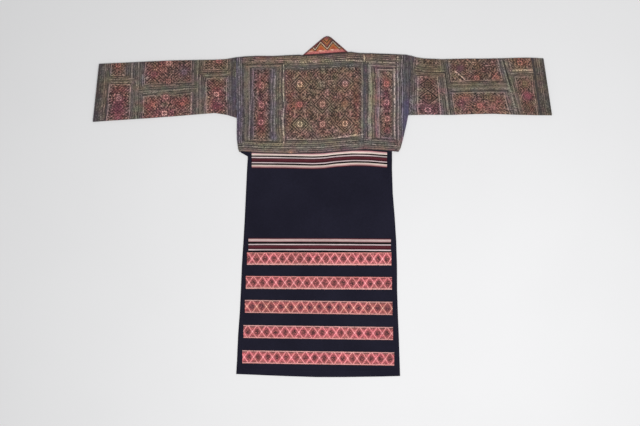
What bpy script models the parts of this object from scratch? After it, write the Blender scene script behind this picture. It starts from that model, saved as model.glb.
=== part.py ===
"""Embroidered jacket with a long back tail, laid out flat on a table with its back up.

+X runs across the back towards the right sleeve, +Y from the tail towards the neck band
and +Z up from the table. The origin is on the table, under the middle of the garment.
Sizes are in millimetres, and the meshes are made in metres.
"""

import math
from collections import namedtuple

import bmesh
import bpy

MM = 0.001

# Cloth walls and the gaps between pieces.
SEAM_GAP = 0.3
FRONT_WALL = 1.4
BODY_WALL = 1.9
BAND_CLOTH = 1.3
TAIL_CLOTH = 1.2
STRIP_CLOTH = 0.6
LATTICE_CLOTH = 0.9

# Heights over the table.
UPPER_INSIDE = 3.3
NECK_LIFT = 0.6
NECK_LIFT_REACH = 25.0
CUFF_SETTLE = 0.4
CUFF_SETTLE_START = 460.0
CUFF_SETTLE_END = 540.0
TAIL_LAP_HEIGHT = 1.7

# Rolled edges of the upper cloth, where it turns down to the table.
ROLL = 2.8
ROLL_STEPS = 4
ROLL_CHANGE = 6.0
LOWER_EDGE_ROUND = 0.8
INNER_CORNER = 0.3

# How far apart the sections of each piece are.
BODY_STEP = 24.0
SLEEVE_STEP = 26.0
TAIL_STEP = 20.0
TRIM_STEP = 22.0
NEAREST_ROWS = 1.2

# Seams between embroidered panels are shallow troughs in the outer face.
SEAM_HALF = 2.6
SEAM_DEPTH = 0.5

EdgePoint = namedtuple("EdgePoint", "x y")
Section = namedtuple("Section", "top_x top_y foot_x foot_y seam")
Fold = namedtuple("Fold", "x0 y0 x1 y1 half_width height")
Strip = namedtuple("Strip", "width colour")
Band = namedtuple("Band", "left_x right_x left_top left_foot right_top right_foot")
Finish = namedtuple("Finish", "red green blue roughness")
Column = namedtuple("Column", "share side step")
Row = namedtuple("Row", "share step")
Sleeve = namedtuple("Sleeve", "name side sections length_seam")

# Outline of the back panel, left to right and top to bottom.
SHOULDER = (
    EdgePoint(-206.9, 357.4),
    EdgePoint(-186.5, 359.6),
    EdgePoint(-158.0, 360.9),
    EdgePoint(-115.0, 360.7),
    EdgePoint(-86.0, 362.4),
    EdgePoint(-60.0, 363.3),
    EdgePoint(-46.5, 361.8),
    EdgePoint(59.9, 369.1),
    EdgePoint(72.0, 370.0),
    EdgePoint(86.0, 368.1),
    EdgePoint(115.0, 367.3),
    EdgePoint(172.0, 365.2),
    EdgePoint(201.0, 363.7),
    EdgePoint(213.3, 361.0),
)
HEM = (
    EdgePoint(-199.2, 130.8),
    EdgePoint(-192.5, 132.2),
    EdgePoint(-149.4, 128.8),
    EdgePoint(-77.7, 127.4),
    EdgePoint(-6.0, 128.6),
    EdgePoint(54.0, 133.4),
    EdgePoint(102.0, 137.0),
    EdgePoint(150.0, 134.6),
    EdgePoint(182.0, 131.2),
)
SIDE_LEFT = (
    EdgePoint(-199.2, 130.8),
    EdgePoint(-201.8, 139.4),
    EdgePoint(-204.6, 160.0),
    EdgePoint(-205.0, 179.0),
    EdgePoint(-204.7, 212.4),
    EdgePoint(-206.9, 357.4),
)
SIDE_RIGHT = (
    EdgePoint(182.0, 131.2),
    EdgePoint(187.0, 139.4),
    EdgePoint(192.3, 158.5),
    EdgePoint(196.6, 177.7),
    EdgePoint(201.1, 196.8),
    EdgePoint(205.4, 219.1),
    EdgePoint(213.3, 361.0),
)
ARMHOLE_FOOT_LEFT = 212.4
ARMHOLE_FOOT_RIGHT = 219.1

# Where the shoulder roll is open, so that the neck band passes under the back.
NECK_OPEN_LEFT = -56.5
NECK_OPEN_RIGHT = 69.0

# Seam troughs of the back: across it by X, and down it by the drop from the shoulder.
BACK_SEAM_COLUMNS = (-178.2, -91.3, 98.2, 173.6)
BACK_SEAM_ROWS = (28.0, 209.0)

# The sleeves' sections, from the armhole out to the open end of the cuff.
SLEEVE_LEFT = (
    Section(-207.2, 357.4, -205.0, 212.4, False),
    Section(-229.6, 353.4, -229.6, 220.0, False),
    Section(-258.3, 351.8, -258.3, 224.3, False),
    Section(-294.2, 351.3, -295.0, 221.4, True),
    Section(-358.8, 349.9, -360.0, 216.1, False),
    Section(-416.3, 347.6, -418.7, 211.7, False),
    Section(-441.4, 346.4, -444.5, 210.1, True),
    Section(-473.7, 344.9, -479.7, 207.8, False),
    Section(-507.2, 343.4, -520.4, 205.2, False),
    Section(-534.0, 342.1, -549.1, 203.0, False),
)
SLEEVE_RIGHT = (
    Section(213.6, 361.0, 205.7, 219.1, False),
    Section(225.6, 357.6, 222.0, 219.6, False),
    Section(244.2, 354.7, 248.0, 220.2, False),
    Section(288.5, 353.0, 306.9, 219.6, True),
    Section(344.7, 354.5, 365.0, 221.8, False),
    Section(387.8, 354.4, 410.0, 222.4, False),
    Section(431.3, 355.4, 470.3, 219.9, True),
    Section(484.7, 356.7, 506.0, 219.1, False),
    Section(498.6, 356.7, 518.7, 219.0, False),
    Section(528.5, 355.2, 549.1, 218.8, False),
)
SLEEVES = (
    Sleeve("left", -1, SLEEVE_LEFT, None),
    Sleeve("right", 1, SLEEVE_RIGHT, 0.5),
)
SLEEVE_ACROSS = 6

# A soft ridge dies out at this many half widths, and is lowest at the ends of its crest.
FOLD_REACH = 2.0
FOLD_END = 0.1

# Soft ridges in the upper cloth: the line of each crest, its half width and its height.
UPPER_FOLDS = (
    Fold(-236.0, 302.0, -500.0, 283.0, 20.0, 0.9),
    Fold(-214.0, 236.0, -305.0, 262.0, 15.0, 0.8),
    Fold(-330.0, 334.0, -452.0, 322.0, 14.0, 0.6),
    Fold(-186.0, 148.0, -60.0, 142.0, 12.0, 0.6),
    Fold(-150.0, 318.0, 120.0, 326.0, 22.0, 0.5),
    Fold(-170.0, 236.0, -112.0, 310.0, 18.0, 0.7),
    Fold(-20.0, 190.0, 60.0, 240.0, 24.0, 0.4),
    Fold(62.0, 150.0, 176.0, 149.0, 13.0, 0.9),
    Fold(196.0, 236.0, 268.0, 268.0, 15.0, 0.9),
    Fold(120.0, 212.0, 172.0, 318.0, 19.0, 0.6),
    Fold(232.0, 322.0, 408.0, 328.0, 15.0, 0.7),
    Fold(322.0, 256.0, 500.0, 246.0, 17.0, 0.8),
)

# Neck band: one straight strip, folded over itself at both ends of the back neck.
NECK_LEFT = EdgePoint(-46.5, 361.2)
NECK_RIGHT = EdgePoint(59.9, 369.1)
NECK_APEX = EdgePoint(11.4, 407.4)
APEX_BLUNT = 8.0
NECK_TUCK = 2.0
BAND_FOLD_RADIUS = 1.15
BAND_FOLD_STEPS = 8
BAND_LEG_FOOT = 139.0

# Fronts, under the back.
FRONT_HEM_RISE = 2.5
FRONT_EDGE_GAP = 0.9
FRONT_NECK_CUT = 4.0
FRONT_ARMHOLE_STEP = 1.0

# Tail panel, top to bottom: its side edges, and its foot from left to right.
TAIL_LEFT = (
    EdgePoint(-206.6, -401.0),
    EdgePoint(-204.6, -368.0),
    EdgePoint(-202.1, -310.0),
    EdgePoint(-197.9, -253.0),
    EdgePoint(-195.2, -196.0),
    EdgePoint(-192.8, -138.0),
    EdgePoint(-189.1, -81.0),
    EdgePoint(-185.8, -23.0),
    EdgePoint(-183.2, 34.0),
    EdgePoint(-180.5, 91.0),
    EdgePoint(-178.3, 120.2),
    EdgePoint(-196.0, 130.0),
    EdgePoint(-196.0, 143.0),
)
TAIL_RIGHT = (
    EdgePoint(186.0, -401.0),
    EdgePoint(184.9, -368.0),
    EdgePoint(183.1, -310.0),
    EdgePoint(180.7, -253.0),
    EdgePoint(178.9, -196.0),
    EdgePoint(178.6, -138.0),
    EdgePoint(176.8, -81.0),
    EdgePoint(173.1, -23.0),
    EdgePoint(168.4, 34.0),
    EdgePoint(166.6, 91.0),
    EdgePoint(166.6, 120.2),
    EdgePoint(166.6, 143.0),
)
TAIL_FOOT = (
    EdgePoint(-206.6, -400.7),
    EdgePoint(-143.5, -403.4),
    EdgePoint(-86.0, -405.7),
    EdgePoint(-14.0, -408.0),
    EdgePoint(57.6, -408.0),
    EdgePoint(143.7, -406.6),
    EdgePoint(186.0, -405.4),
)
TAIL_TOP = 143.0
TAIL_RAMP_FOOT = 88.0
TAIL_RAMP_TOP = 129.0
TAIL_HEM = 8.0
TAIL_FOOT_HEM = 15.0
TAIL_HEM_EDGE = 1.2
TAIL_HEM_RISE = 0.5
TAIL_HEM_FADE = 10.0

# Soft ridges in the tail, raised in its upper face.
TAIL_FOLDS = (
    Fold(2.0, 122.0, 16.0, 40.0, 18.0, 0.5),
    Fold(-150.0, 60.0, -20.0, -20.0, 26.0, 0.5),
    Fold(60.0, 20.0, 150.0, -60.0, 24.0, 0.5),
    Fold(-172.0, -150.0, -60.0, -152.0, 20.0, 0.4),
    Fold(20.0, -205.0, 164.0, -212.0, 18.0, 0.5),
    Fold(-180.0, -270.0, -30.0, -266.0, 18.0, 0.5),
    Fold(40.0, -330.0, 150.0, -334.0, 18.0, 0.4),
    Fold(-120.0, -386.0, 60.0, -390.0, 18.0, 0.4),
)

# Narrow strips, from the top one down, and the line that each group follows.
UPPER_STRIPS = (
    Strip(7.9, "rose"),
    Strip(2.2, "black"),
    Strip(3.8, "cream"),
    Strip(8.2, "maroon"),
    Strip(2.9, "cream"),
    Strip(2.9, "black"),
    Strip(7.6, "rose"),
    Strip(1.9, "maroon"),
)
UPPER_STRIP_LINE = (
    EdgePoint(-169.3, 129.6),
    EdgePoint(-102.0, 129.0),
    EdgePoint(-22.0, 127.2),
    EdgePoint(4.0, 128.2),
    EdgePoint(31.0, 131.8),
    EdgePoint(71.0, 134.6),
    EdgePoint(111.0, 134.0),
    EdgePoint(154.5, 130.4),
)
LOWER_STRIPS = (
    Strip(1.6, "maroon"),
    Strip(7.3, "rose"),
    Strip(3.1, "black"),
    Strip(3.9, "cream"),
    Strip(8.4, "maroon"),
    Strip(3.6, "cream"),
    Strip(3.4, "black"),
)
LOWER_STRIP_LINE = (
    EdgePoint(-177.2, -75.0),
    EdgePoint(0.0, -75.2),
    EdgePoint(163.8, -76.4),
)
HEM_CLEARANCE = 1.3

# Patterned bands, from the top one down.
BANDS = (
    Band(-180.6, 164.8, -109.2, -138.9, -109.2, -140.3),
    Band(-183.4, 166.2, -165.5, -196.3, -168.1, -198.5),
    Band(-185.6, 167.4, -222.7, -254.0, -227.2, -259.5),
    Band(-188.9, 168.8, -283.0, -314.3, -287.8, -319.3),
    Band(-191.6, 171.7, -343.5, -374.9, -348.3, -380.6),
)
BAND_ROWS = 3

FINISHES = {
    "embroidery": Finish(0.17, 0.12, 0.09, 0.9),
    "cuff": Finish(0.12, 0.12, 0.09, 0.9),
    "neck": Finish(0.50, 0.13, 0.06, 0.85),
    "lining": Finish(0.02, 0.025, 0.05, 0.9),
    "indigo": Finish(0.012, 0.014, 0.032, 0.85),
    "rose": Finish(0.62, 0.36, 0.36, 0.8),
    "cream": Finish(0.66, 0.58, 0.50, 0.8),
    "maroon": Finish(0.11, 0.02, 0.035, 0.8),
    "black": Finish(0.02, 0.025, 0.022, 0.8),
    "lattice": Finish(0.55, 0.13, 0.14, 0.85),
}


def clear_scene():
    """Remove every object that the file starts with."""
    for item in list(bpy.data.objects):
        bpy.data.objects.remove(item)


def clamp(value):
    """Value held between 0 and 1."""
    return max(0.0, min(1.0, value))


def ease(value):
    """Smooth step of a value from 0 to 1."""
    share = clamp(value)
    return share * share * (3.0 - 2.0 * share)


def mix(start, end, share):
    """Number a share of the way from start to end."""
    return start + (end - start) * share


def along(table, key, field, value):
    """Value of one column of a table at a place on another, between its rows."""
    rows = sorted(table, key=lambda row: getattr(row, key))
    if value <= getattr(rows[0], key):
        return getattr(rows[0], field)
    for before, after in zip(rows, rows[1:]):
        start = getattr(before, key)
        end = getattr(after, key)
        if value <= end:
            share = (value - start) / (end - start)
            return mix(getattr(before, field), getattr(after, field), share)
    return getattr(rows[-1], field)


def stops(low, high, step, extra=(), nearest=0.0):
    """Places from low to high, no further apart than step, with the extra ones among them.

    An extra place that lies nearer than nearest to the one before it is left out.
    """
    marks = [low]
    for place in sorted(extra):
        if marks[-1] + nearest < place < high - nearest:
            marks.append(place)
    marks.append(high)
    places = [low]
    for start, end in zip(marks, marks[1:]):
        count = max(1, math.ceil((end - start) / step))
        for index in range(1, count + 1):
            places.append(mix(start, end, index / count))
    return places


def around(centres, half):
    """Each centre with a place at half the seam's width on both sides of it."""
    return [centre + offset for centre in centres for offset in (-half, 0.0, half)]


def fold_height(folds, x, y):
    """Height that the soft ridges add at a place."""
    height = 0.0
    for fold in folds:
        run_x = fold.x1 - fold.x0
        run_y = fold.y1 - fold.y0
        length = math.hypot(run_x, run_y)
        share = ((x - fold.x0) * run_x + (y - fold.y0) * run_y) / length**2
        aside = abs((x - fold.x0) * run_y - (y - fold.y0) * run_x) / length
        past = max(0.0, -share, share - 1.0) * length
        distance = math.hypot(aside, past) / (fold.half_width * FOLD_REACH)
        if distance < 1.0:
            taper = math.sin(math.pi * mix(FOLD_END, 1.0 - FOLD_END, clamp(share)))
            height += fold.height * taper * math.cos(distance * math.pi / 2.0) ** 2
    return height


def upper_top(x, y):
    """Height of the outer face of the back and of the sleeves over the table."""
    lift = ease(1.0 - (along(SHOULDER, "x", "y", x) - y) / NECK_LIFT_REACH)
    past = max(0.0, NECK_OPEN_LEFT - x, x - NECK_OPEN_RIGHT)
    lift *= ease(1.0 - past / NECK_LIFT_REACH)
    settle = ease((abs(x) - CUFF_SETTLE_START) / (CUFF_SETTLE_END - CUFF_SETTLE_START))
    base = UPPER_INSIDE + BODY_WALL + NECK_LIFT * lift - CUFF_SETTLE * settle
    return base + fold_height(UPPER_FOLDS, x, y)


def new_object(name, mesh, finish, collection):
    """Object for a mesh, with a material of its own."""
    item = bpy.data.objects.new(name, mesh)
    collection.objects.link(item)
    colour = FINISHES[finish]
    material = bpy.data.materials.new(name + "_" + finish)
    material.use_nodes = True
    shader = material.node_tree.nodes["Principled BSDF"]
    shader.inputs["Base Color"].default_value = (colour.red, colour.green, colour.blue, 1.0)
    shader.inputs["Roughness"].default_value = colour.roughness
    shader.inputs["Metallic"].default_value = 0.0
    mesh.materials.append(material)
    return item


def add_grid(form, points, ring):
    """Add a grid of points and its faces to a form, and return the rows of vertices."""
    rows = [[form.verts.new([c * MM for c in point]) for point in row] for row in points]
    count = len(rows[0])
    last = count if ring else count - 1
    for row, below in zip(rows, rows[1:]):
        for index in range(last):
            beside = (index + 1) % count
            form.faces.new((row[index], row[beside], below[beside], below[index]))
    return rows


def join_rims(form, outer, inner, closed):
    """Join two lines of vertices with a rim of faces."""
    count = len(outer)
    last = count if closed else count - 1
    for index in range(last):
        beside = (index + 1) % count
        form.faces.new((outer[index], inner[index], inner[beside], outer[beside]))


def cloth_wall(name, outer, inner, finish, collection, ring=False):
    """Closed wall of cloth between its outer and inner points, given as rows."""
    form = bmesh.new()
    outer_rows = add_grid(form, outer, ring)
    inner_rows = add_grid(form, inner, ring)
    join_rims(form, outer_rows[0], inner_rows[0], ring)
    join_rims(form, outer_rows[-1], inner_rows[-1], ring)
    if not ring:
        for edge in (0, -1):
            outer_edge = [row[edge] for row in outer_rows]
            inner_edge = [row[edge] for row in inner_rows]
            join_rims(form, outer_edge, inner_edge, False)
    bmesh.ops.recalc_face_normals(form, faces=form.faces)
    mesh = bpy.data.meshes.new(name)
    form.to_mesh(mesh)
    form.free()
    return new_object(name, mesh, finish, collection)


def solidified(name, form, thickness, offset, finish, collection):
    """Object of an open surface that Solidify makes a wall of the given thickness."""
    mesh = bpy.data.meshes.new(name)
    form.to_mesh(mesh)
    form.free()
    item = new_object(name, mesh, finish, collection)
    wall = item.modifiers.new("wall", "SOLIDIFY")
    wall.thickness = thickness * MM
    wall.offset = offset
    wall.use_even_offset = True
    wall.use_quality_normals = True
    return item


def roll_point(top, closed, step):
    """Reach and height of the outer and of the inner face at a step round a rolled edge.

    top is the height of the outer face. closed is 1 where the edge turns down to the
    table and 0 where it lies flat, and step runs from 0 to ROLL_STEPS.
    """
    inside = top - BODY_WALL
    if step == 0:
        return 0.0, top, 0.0, inside
    flat = ROLL * step / ROLL_STEPS
    inner_roll = ROLL - BODY_WALL
    turn = math.pi / 2.0 * min(1.0, step / (ROLL_STEPS - 1))
    height = top - ROLL * (1.0 - math.cos(turn))
    inner_height = top - ROLL + inner_roll * math.cos(turn)
    if step == ROLL_STEPS:
        height = 0.0
        inner_height = 0.0
    return (
        mix(flat, ROLL * math.sin(turn), closed),
        mix(top, height, closed),
        mix(flat, inner_roll * math.sin(turn), closed),
        mix(inside, inner_height, closed),
    )


def seam_sink(distance):
    """Depth of a seam's trough at a distance from its middle."""
    return SEAM_DEPTH * clamp(1.0 - abs(distance) / SEAM_HALF)


def side_closed(side, y):
    """How far a side edge of the back is turned down at a place up the body."""
    armhole_foot = ARMHOLE_FOOT_LEFT if side < 0 else ARMHOLE_FOOT_RIGHT
    return clamp((armhole_foot - y) / ROLL_CHANGE)


def shoulder_closed(x):
    """How far the shoulder edge of the back is turned down at a place across it."""
    past = max(NECK_OPEN_LEFT - x, x - NECK_OPEN_RIGHT)
    return clamp(past / ROLL_CHANGE)


def back_width():
    """Left and right ends, at the shoulder, of the back's flat part."""
    return SIDE_LEFT[-1].x + ROLL, SIDE_RIGHT[-1].x - ROLL


def back_place(share_across, share_down):
    """Place of the back's flat part at shares across it and down it."""
    left, right = back_width()
    left_y = mix(SIDE_LEFT[-1].y, SIDE_LEFT[0].y, share_down)
    right_y = mix(SIDE_RIGHT[-1].y, SIDE_RIGHT[0].y, share_down)
    left_x = along(SIDE_LEFT, "y", "x", left_y) + ROLL
    right_x = along(SIDE_RIGHT, "y", "x", right_y) - ROLL
    top_y = along(SHOULDER, "x", "y", mix(left, right, share_across)) - ROLL
    hem_x = mix(SIDE_LEFT[0].x + ROLL, SIDE_RIGHT[0].x - ROLL, share_across)
    hem_y = along(HEM, "x", "y", hem_x)
    return mix(left_x, right_x, share_across), mix(top_y, hem_y, share_down)


def back_columns():
    """Columns of the back's points, from its left edge to its right edge."""
    left, right = back_width()
    neck = (
        NECK_OPEN_LEFT - ROLL_CHANGE,
        NECK_OPEN_LEFT,
        NECK_OPEN_RIGHT,
        NECK_OPEN_RIGHT + ROLL_CHANGE,
    )
    places = stops(left, right, BODY_STEP, around(BACK_SEAM_COLUMNS, SEAM_HALF) + list(neck))
    columns = [Column(0.0, -1, step) for step in range(ROLL_STEPS, 0, -1)]
    columns += [Column((x - left) / (right - left), 0, 0) for x in places]
    columns += [Column(1.0, 1, step) for step in range(1, ROLL_STEPS + 1)]
    return columns


def back_rows():
    """Rows of the back's points, from the shoulder edge to the hem."""
    drop = SHOULDER[0].y - HEM[0].y
    bends = []
    for edge, foot in ((SIDE_LEFT, ARMHOLE_FOOT_LEFT), (SIDE_RIGHT, ARMHOLE_FOOT_RIGHT)):
        scale = drop / (edge[-1].y - edge[0].y)
        bends += [scale * (edge[-1].y - y) for y in (foot, foot - ROLL_CHANGE, edge[1].y)]
    bends += around(BACK_SEAM_ROWS, SEAM_HALF)
    places = stops(0.0, drop, BODY_STEP, bends, nearest=NEAREST_ROWS)
    rows = [Row(0.0, step) for step in range(ROLL_STEPS, 0, -1)]
    return rows + [Row(place / drop, 0) for place in places]


def back_sink(column, row):
    """Depth of the back's seam troughs at a column and a row of its points."""
    left, right = back_width()
    x = mix(left, right, column.share)
    drop = row.share * (SHOULDER[0].y - HEM[0].y)
    sinks = [seam_sink(x - place) for place in BACK_SEAM_COLUMNS]
    sinks += [seam_sink(drop - place) for place in BACK_SEAM_ROWS]
    return max(sinks)


def back_point(column, row):
    """Outer and inner point of the back at a column and a row of its points."""
    x, y = back_place(column.share, row.share)
    top = upper_top(x, y)
    inside = top - BODY_WALL
    aside = roll_point(top, side_closed(column.side, y), column.step)
    over = roll_point(top, shoulder_closed(x), row.step)
    outer_height = aside[1] + over[1] - top - back_sink(column, row)
    inner_height = aside[3] + over[3] - inside
    outer = (x + column.side * aside[0], y + over[0], max(0.0, outer_height))
    inner = (x + column.side * aside[2], y + over[2], inner_height)
    return outer, inner


def make_back_panel(collection):
    """Embroidered back, turned down to the table at the shoulders and below the armholes."""
    columns = back_columns()
    grid = [[back_point(column, row) for column in columns] for row in back_rows()]
    outer = [[pair[0] for pair in row] for row in grid]
    inner = [[pair[1] for pair in row] for row in grid]
    return cloth_wall("back_panel", outer, inner, "embroidery", collection)


def section_at(sleeve, top_x):
    """Section of a sleeve that starts from a place along its top fold."""
    fields = [along(sleeve.sections, "top_x", name, top_x) for name in ("top_y", "foot_x", "foot_y")]
    return Section(top_x, *fields, False)


def sleeve_sink(sleeve, top_x, share, length):
    """Depth of a sleeve's seam troughs at a share of the way across it."""
    seams = [section.top_x for section in sleeve.sections if section.seam]
    sinks = [seam_sink(top_x - seam) for seam in seams]
    if sleeve.length_seam is not None and min(seams) <= top_x <= max(seams):
        sinks.append(seam_sink((share - sleeve.length_seam) * length))
    return max(sinks)


def sleeve_ring(sleeve, top_x):
    """Outer and inner points round one section of a sleeve, in step with each other."""
    section = section_at(sleeve, top_x)
    run_x = section.foot_x - section.top_x
    run_y = section.foot_y - section.top_y
    length = math.hypot(run_x, run_y)

    def place(reach, height):
        share = reach / length
        return section.top_x + run_x * share, section.top_y + run_y * share, height

    outer = []
    inner = []
    for start, direction in ((ROLL, -1), (length - ROLL, 1)):
        x, y, _ = place(start, 0.0)
        top = upper_top(x, y)
        steps = range(ROLL_STEPS - 1, 0, -1) if direction < 0 else range(1, ROLL_STEPS)
        edge = [roll_point(top, 1.0, step) for step in steps]
        edge_outer = [place(start + direction * point[0], point[1]) for point in edge]
        edge_inner = [place(start + direction * point[2], point[3]) for point in edge]
        if direction > 0:
            middles = stops(0.0, 1.0, 1.0 / SLEEVE_ACROSS, around((0.5,), SEAM_HALF / length))
            for share in middles:
                x, y, _ = place(mix(ROLL, length - ROLL, share), 0.0)
                top = upper_top(x, y)
                outer.append((x, y, top - sleeve_sink(sleeve, top_x, share, length)))
                inner.append((x, y, top - BODY_WALL))
        outer += edge_outer
        inner += edge_inner
    for reach, height in (
        (length, LOWER_EDGE_ROUND),
        (length - LOWER_EDGE_ROUND, 0.0),
        (LOWER_EDGE_ROUND, 0.0),
        (0.0, LOWER_EDGE_ROUND),
    ):
        outer.append(place(reach, height))
    for reach, height in (
        (length - BODY_WALL, FRONT_WALL + INNER_CORNER),
        (length - BODY_WALL - INNER_CORNER, FRONT_WALL),
        (BODY_WALL + INNER_CORNER, FRONT_WALL),
        (BODY_WALL, FRONT_WALL + INNER_CORNER),
    ):
        inner.append(place(reach, height))
    return outer, inner


def make_tube(name, sleeve, start_x, end_x, finish, collection):
    """Flat-pressed tube of a sleeve between two places along its top fold."""
    seams = [section.top_x for section in sleeve.sections if section.seam]
    low, high = sorted((start_x, end_x))
    places = stops(low, high, SLEEVE_STEP, around(seams, SEAM_HALF))
    rings = [sleeve_ring(sleeve, top_x) for top_x in places]
    outer = [ring[0] for ring in rings]
    inner = [ring[1] for ring in rings]
    return cloth_wall(name, outer, inner, finish, collection, ring=True)


def make_sleeves(collection):
    """Both sleeves, each with the striped cuff at its open end."""
    for sleeve in SLEEVES:
        armhole = sleeve.sections[0].top_x
        cuff_seam = sleeve.sections[-2].top_x
        cuff_end = sleeve.sections[-1].top_x
        cuff_start = cuff_seam + sleeve.side * SEAM_GAP
        make_tube("sleeve_" + sleeve.name, sleeve, armhole, cuff_seam, "embroidery", collection)
        make_tube("cuff_" + sleeve.name, sleeve, cuff_start, cuff_end, "cuff", collection)


class BandFold:
    """One of the two folds of the neck band, over which the strip turns back under itself."""

    def __init__(self, side):
        base_x = NECK_RIGHT.x - NECK_LEFT.x
        base_y = NECK_RIGHT.y - NECK_LEFT.y
        base = math.hypot(base_x, base_y)
        self.run = (base_x / base, base_y / base)
        self.rise = (-self.run[1], self.run[0])
        apex_x = NECK_APEX.x - NECK_LEFT.x
        apex_y = NECK_APEX.y - NECK_LEFT.y
        apex_run = apex_x * self.run[0] + apex_y * self.run[1]
        self.width = apex_x * self.rise[0] + apex_y * self.rise[1]
        self.start = 0.0 if side < 0 else base
        self.end = apex_run + side * APEX_BLUNT / 2.0
        length = math.hypot(self.end - self.start, self.width)
        lean = (self.end - self.start) / length
        climb = self.width / length
        self.slope = abs(lean) / climb
        self.line = tuple(lean * self.run[i] + climb * self.rise[i] for i in (0, 1))
        self.out = (side * self.line[1], -side * self.line[0])

    def crest(self, across):
        """Point of the fold line at a distance across the strip from the back neck."""
        reach = mix(self.start, self.end, across / self.width)
        return tuple(
            (NECK_LEFT.x, NECK_LEFT.y)[i] + reach * self.run[i] + across * self.rise[i] for i in (0, 1)
        )

    def point(self, across, past):
        """Point of the strip's middle surface at a distance past the fold line."""
        crest = self.crest(across)
        top = BAND_CLOTH / 2.0 + 2.0 * BAND_FOLD_RADIUS
        round_the_fold = math.pi * BAND_FOLD_RADIUS
        if past <= round_the_fold:
            turn = past / BAND_FOLD_RADIUS
            reach = BAND_FOLD_RADIUS * math.sin(turn)
            height = top - BAND_FOLD_RADIUS * (1.0 - math.cos(turn))
        else:
            reach = round_the_fold - past
            height = top - 2.0 * BAND_FOLD_RADIUS
        x, y = (crest[i] - self.line[i] * past * self.slope + self.out[i] * reach for i in (0, 1))
        return x, y, height

    def foot_past(self, across):
        """Distance past the fold line at which the strip's leg ends."""
        crest_y = self.crest(across)[1]
        round_the_fold = math.pi * BAND_FOLD_RADIUS
        fall = self.line[1] * self.slope + self.out[1]
        return (crest_y - BAND_LEG_FOOT + self.out[1] * round_the_fold) / fall

    def column(self, across):
        """Points of the strip from the fold line to the foot of its leg."""
        round_the_fold = math.pi * BAND_FOLD_RADIUS
        turns = [round_the_fold * step / BAND_FOLD_STEPS for step in range(BAND_FOLD_STEPS + 1)]
        return [self.point(across, past) for past in turns + [self.foot_past(across)]]

    def seam_line(self):
        """Top and foot of the leg's seam edge, where a front is sewn to it."""
        column = self.column(-NECK_TUCK)
        return column[-2], column[-1]


def make_neck_band(collection):
    """Strip round the neck, whose folded middle stands up as a triangle at the back."""
    left = BandFold(-1)
    right = BandFold(1)
    form = bmesh.new()
    rows = []
    for across in (-NECK_TUCK, left.width):
        rows.append(list(reversed(left.column(across))) + right.column(across))
    add_grid(form, rows, False)
    return solidified("neck_band", form, BAND_CLOTH, 0.0, "neck", collection)


def front_outline(side):
    """Outline of a front panel as seen from above, from its hem round by its side."""
    edge = SIDE_LEFT if side < 0 else SIDE_RIGHT
    armhole_foot = ARMHOLE_FOOT_LEFT if side < 0 else ARMHOLE_FOOT_RIGHT
    seam_top, seam_foot = BandFold(side).seam_line()
    inset = BODY_WALL + FRONT_EDGE_GAP
    lean = (seam_foot[0] - seam_top[0]) / (seam_foot[1] - seam_top[1])

    def neck_x(y):
        return seam_top[0] + lean * (y - seam_top[1]) + side * SEAM_GAP

    side_x = along(edge, "y", "x", edge[0].y + FRONT_HEM_RISE) - side * inset
    inner_x = neck_x(along(HEM, "x", "y", seam_foot[0]) + FRONT_HEM_RISE)
    outline = []
    for point in sorted(HEM, key=lambda point: side * point.x):
        if side * inner_x < side * point.x < side * side_x:
            outline.append((point.x, point.y + FRONT_HEM_RISE))
    outline.insert(0, (inner_x, along(HEM, "x", "y", inner_x) + FRONT_HEM_RISE))
    outline.append((side_x, along(HEM, "x", "y", side_x) + FRONT_HEM_RISE))
    for point in edge[1:-1]:
        if point.y < armhole_foot:
            outline.append((point.x - side * inset, point.y))
    armhole_x = along(edge, "y", "x", armhole_foot)
    outline.append((armhole_x - side * inset, armhole_foot))
    outline.append((armhole_x, armhole_foot + FRONT_ARMHOLE_STEP))
    outline.append((edge[-1].x, along(SHOULDER, "x", "y", edge[-1].x) - inset))
    neck_start = seam_top[0] + side * FRONT_NECK_CUT
    for point in sorted(SHOULDER, key=lambda point: -side * point.x):
        if side * neck_start < side * point.x < side * edge[-1].x:
            outline.append((point.x, point.y - inset))
    outline.append((neck_start, along(SHOULDER, "x", "y", neck_start) - inset))
    cut_y = seam_top[1] - FRONT_NECK_CUT
    outline.append((neck_x(cut_y), cut_y))
    return outline


def make_fronts(collection):
    """Both fronts, flat on the table under the back."""
    for side, name in ((-1, "front_left"), (1, "front_right")):
        form = bmesh.new()
        corners = [form.verts.new((x * MM, y * MM, 0.0)) for x, y in front_outline(side)]
        face = form.faces.new(corners)
        face.normal_update()
        if face.normal.z < 0.0:
            face.normal_flip()
        solidified(name, form, FRONT_WALL, 1.0, "lining", collection)


def tail_bottom(y):
    """Height of the tail's plain under face over the table, which rises under the hem."""
    return TAIL_LAP_HEIGHT * clamp((y - TAIL_RAMP_FOOT) / (TAIL_RAMP_TOP - TAIL_RAMP_FOOT))


def tail_top(x, y):
    """Height of the tail's upper face over the table."""
    from_left = x - along(TAIL_LEFT, "y", "x", y)
    from_right = along(TAIL_RIGHT, "y", "x", y) - x
    from_foot = y - along(TAIL_FOOT, "x", "y", x)
    past = max(
        TAIL_HEM - min(from_left, from_right),
        TAIL_FOOT_HEM - from_foot,
    )
    hem = TAIL_HEM_RISE * clamp(past / TAIL_HEM_EDGE + 1.0)
    hem *= clamp((TAIL_RAMP_TOP - y) / TAIL_HEM_FADE)
    return tail_bottom(y) + TAIL_CLOTH + hem + fold_height(TAIL_FOLDS, x, y)


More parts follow.
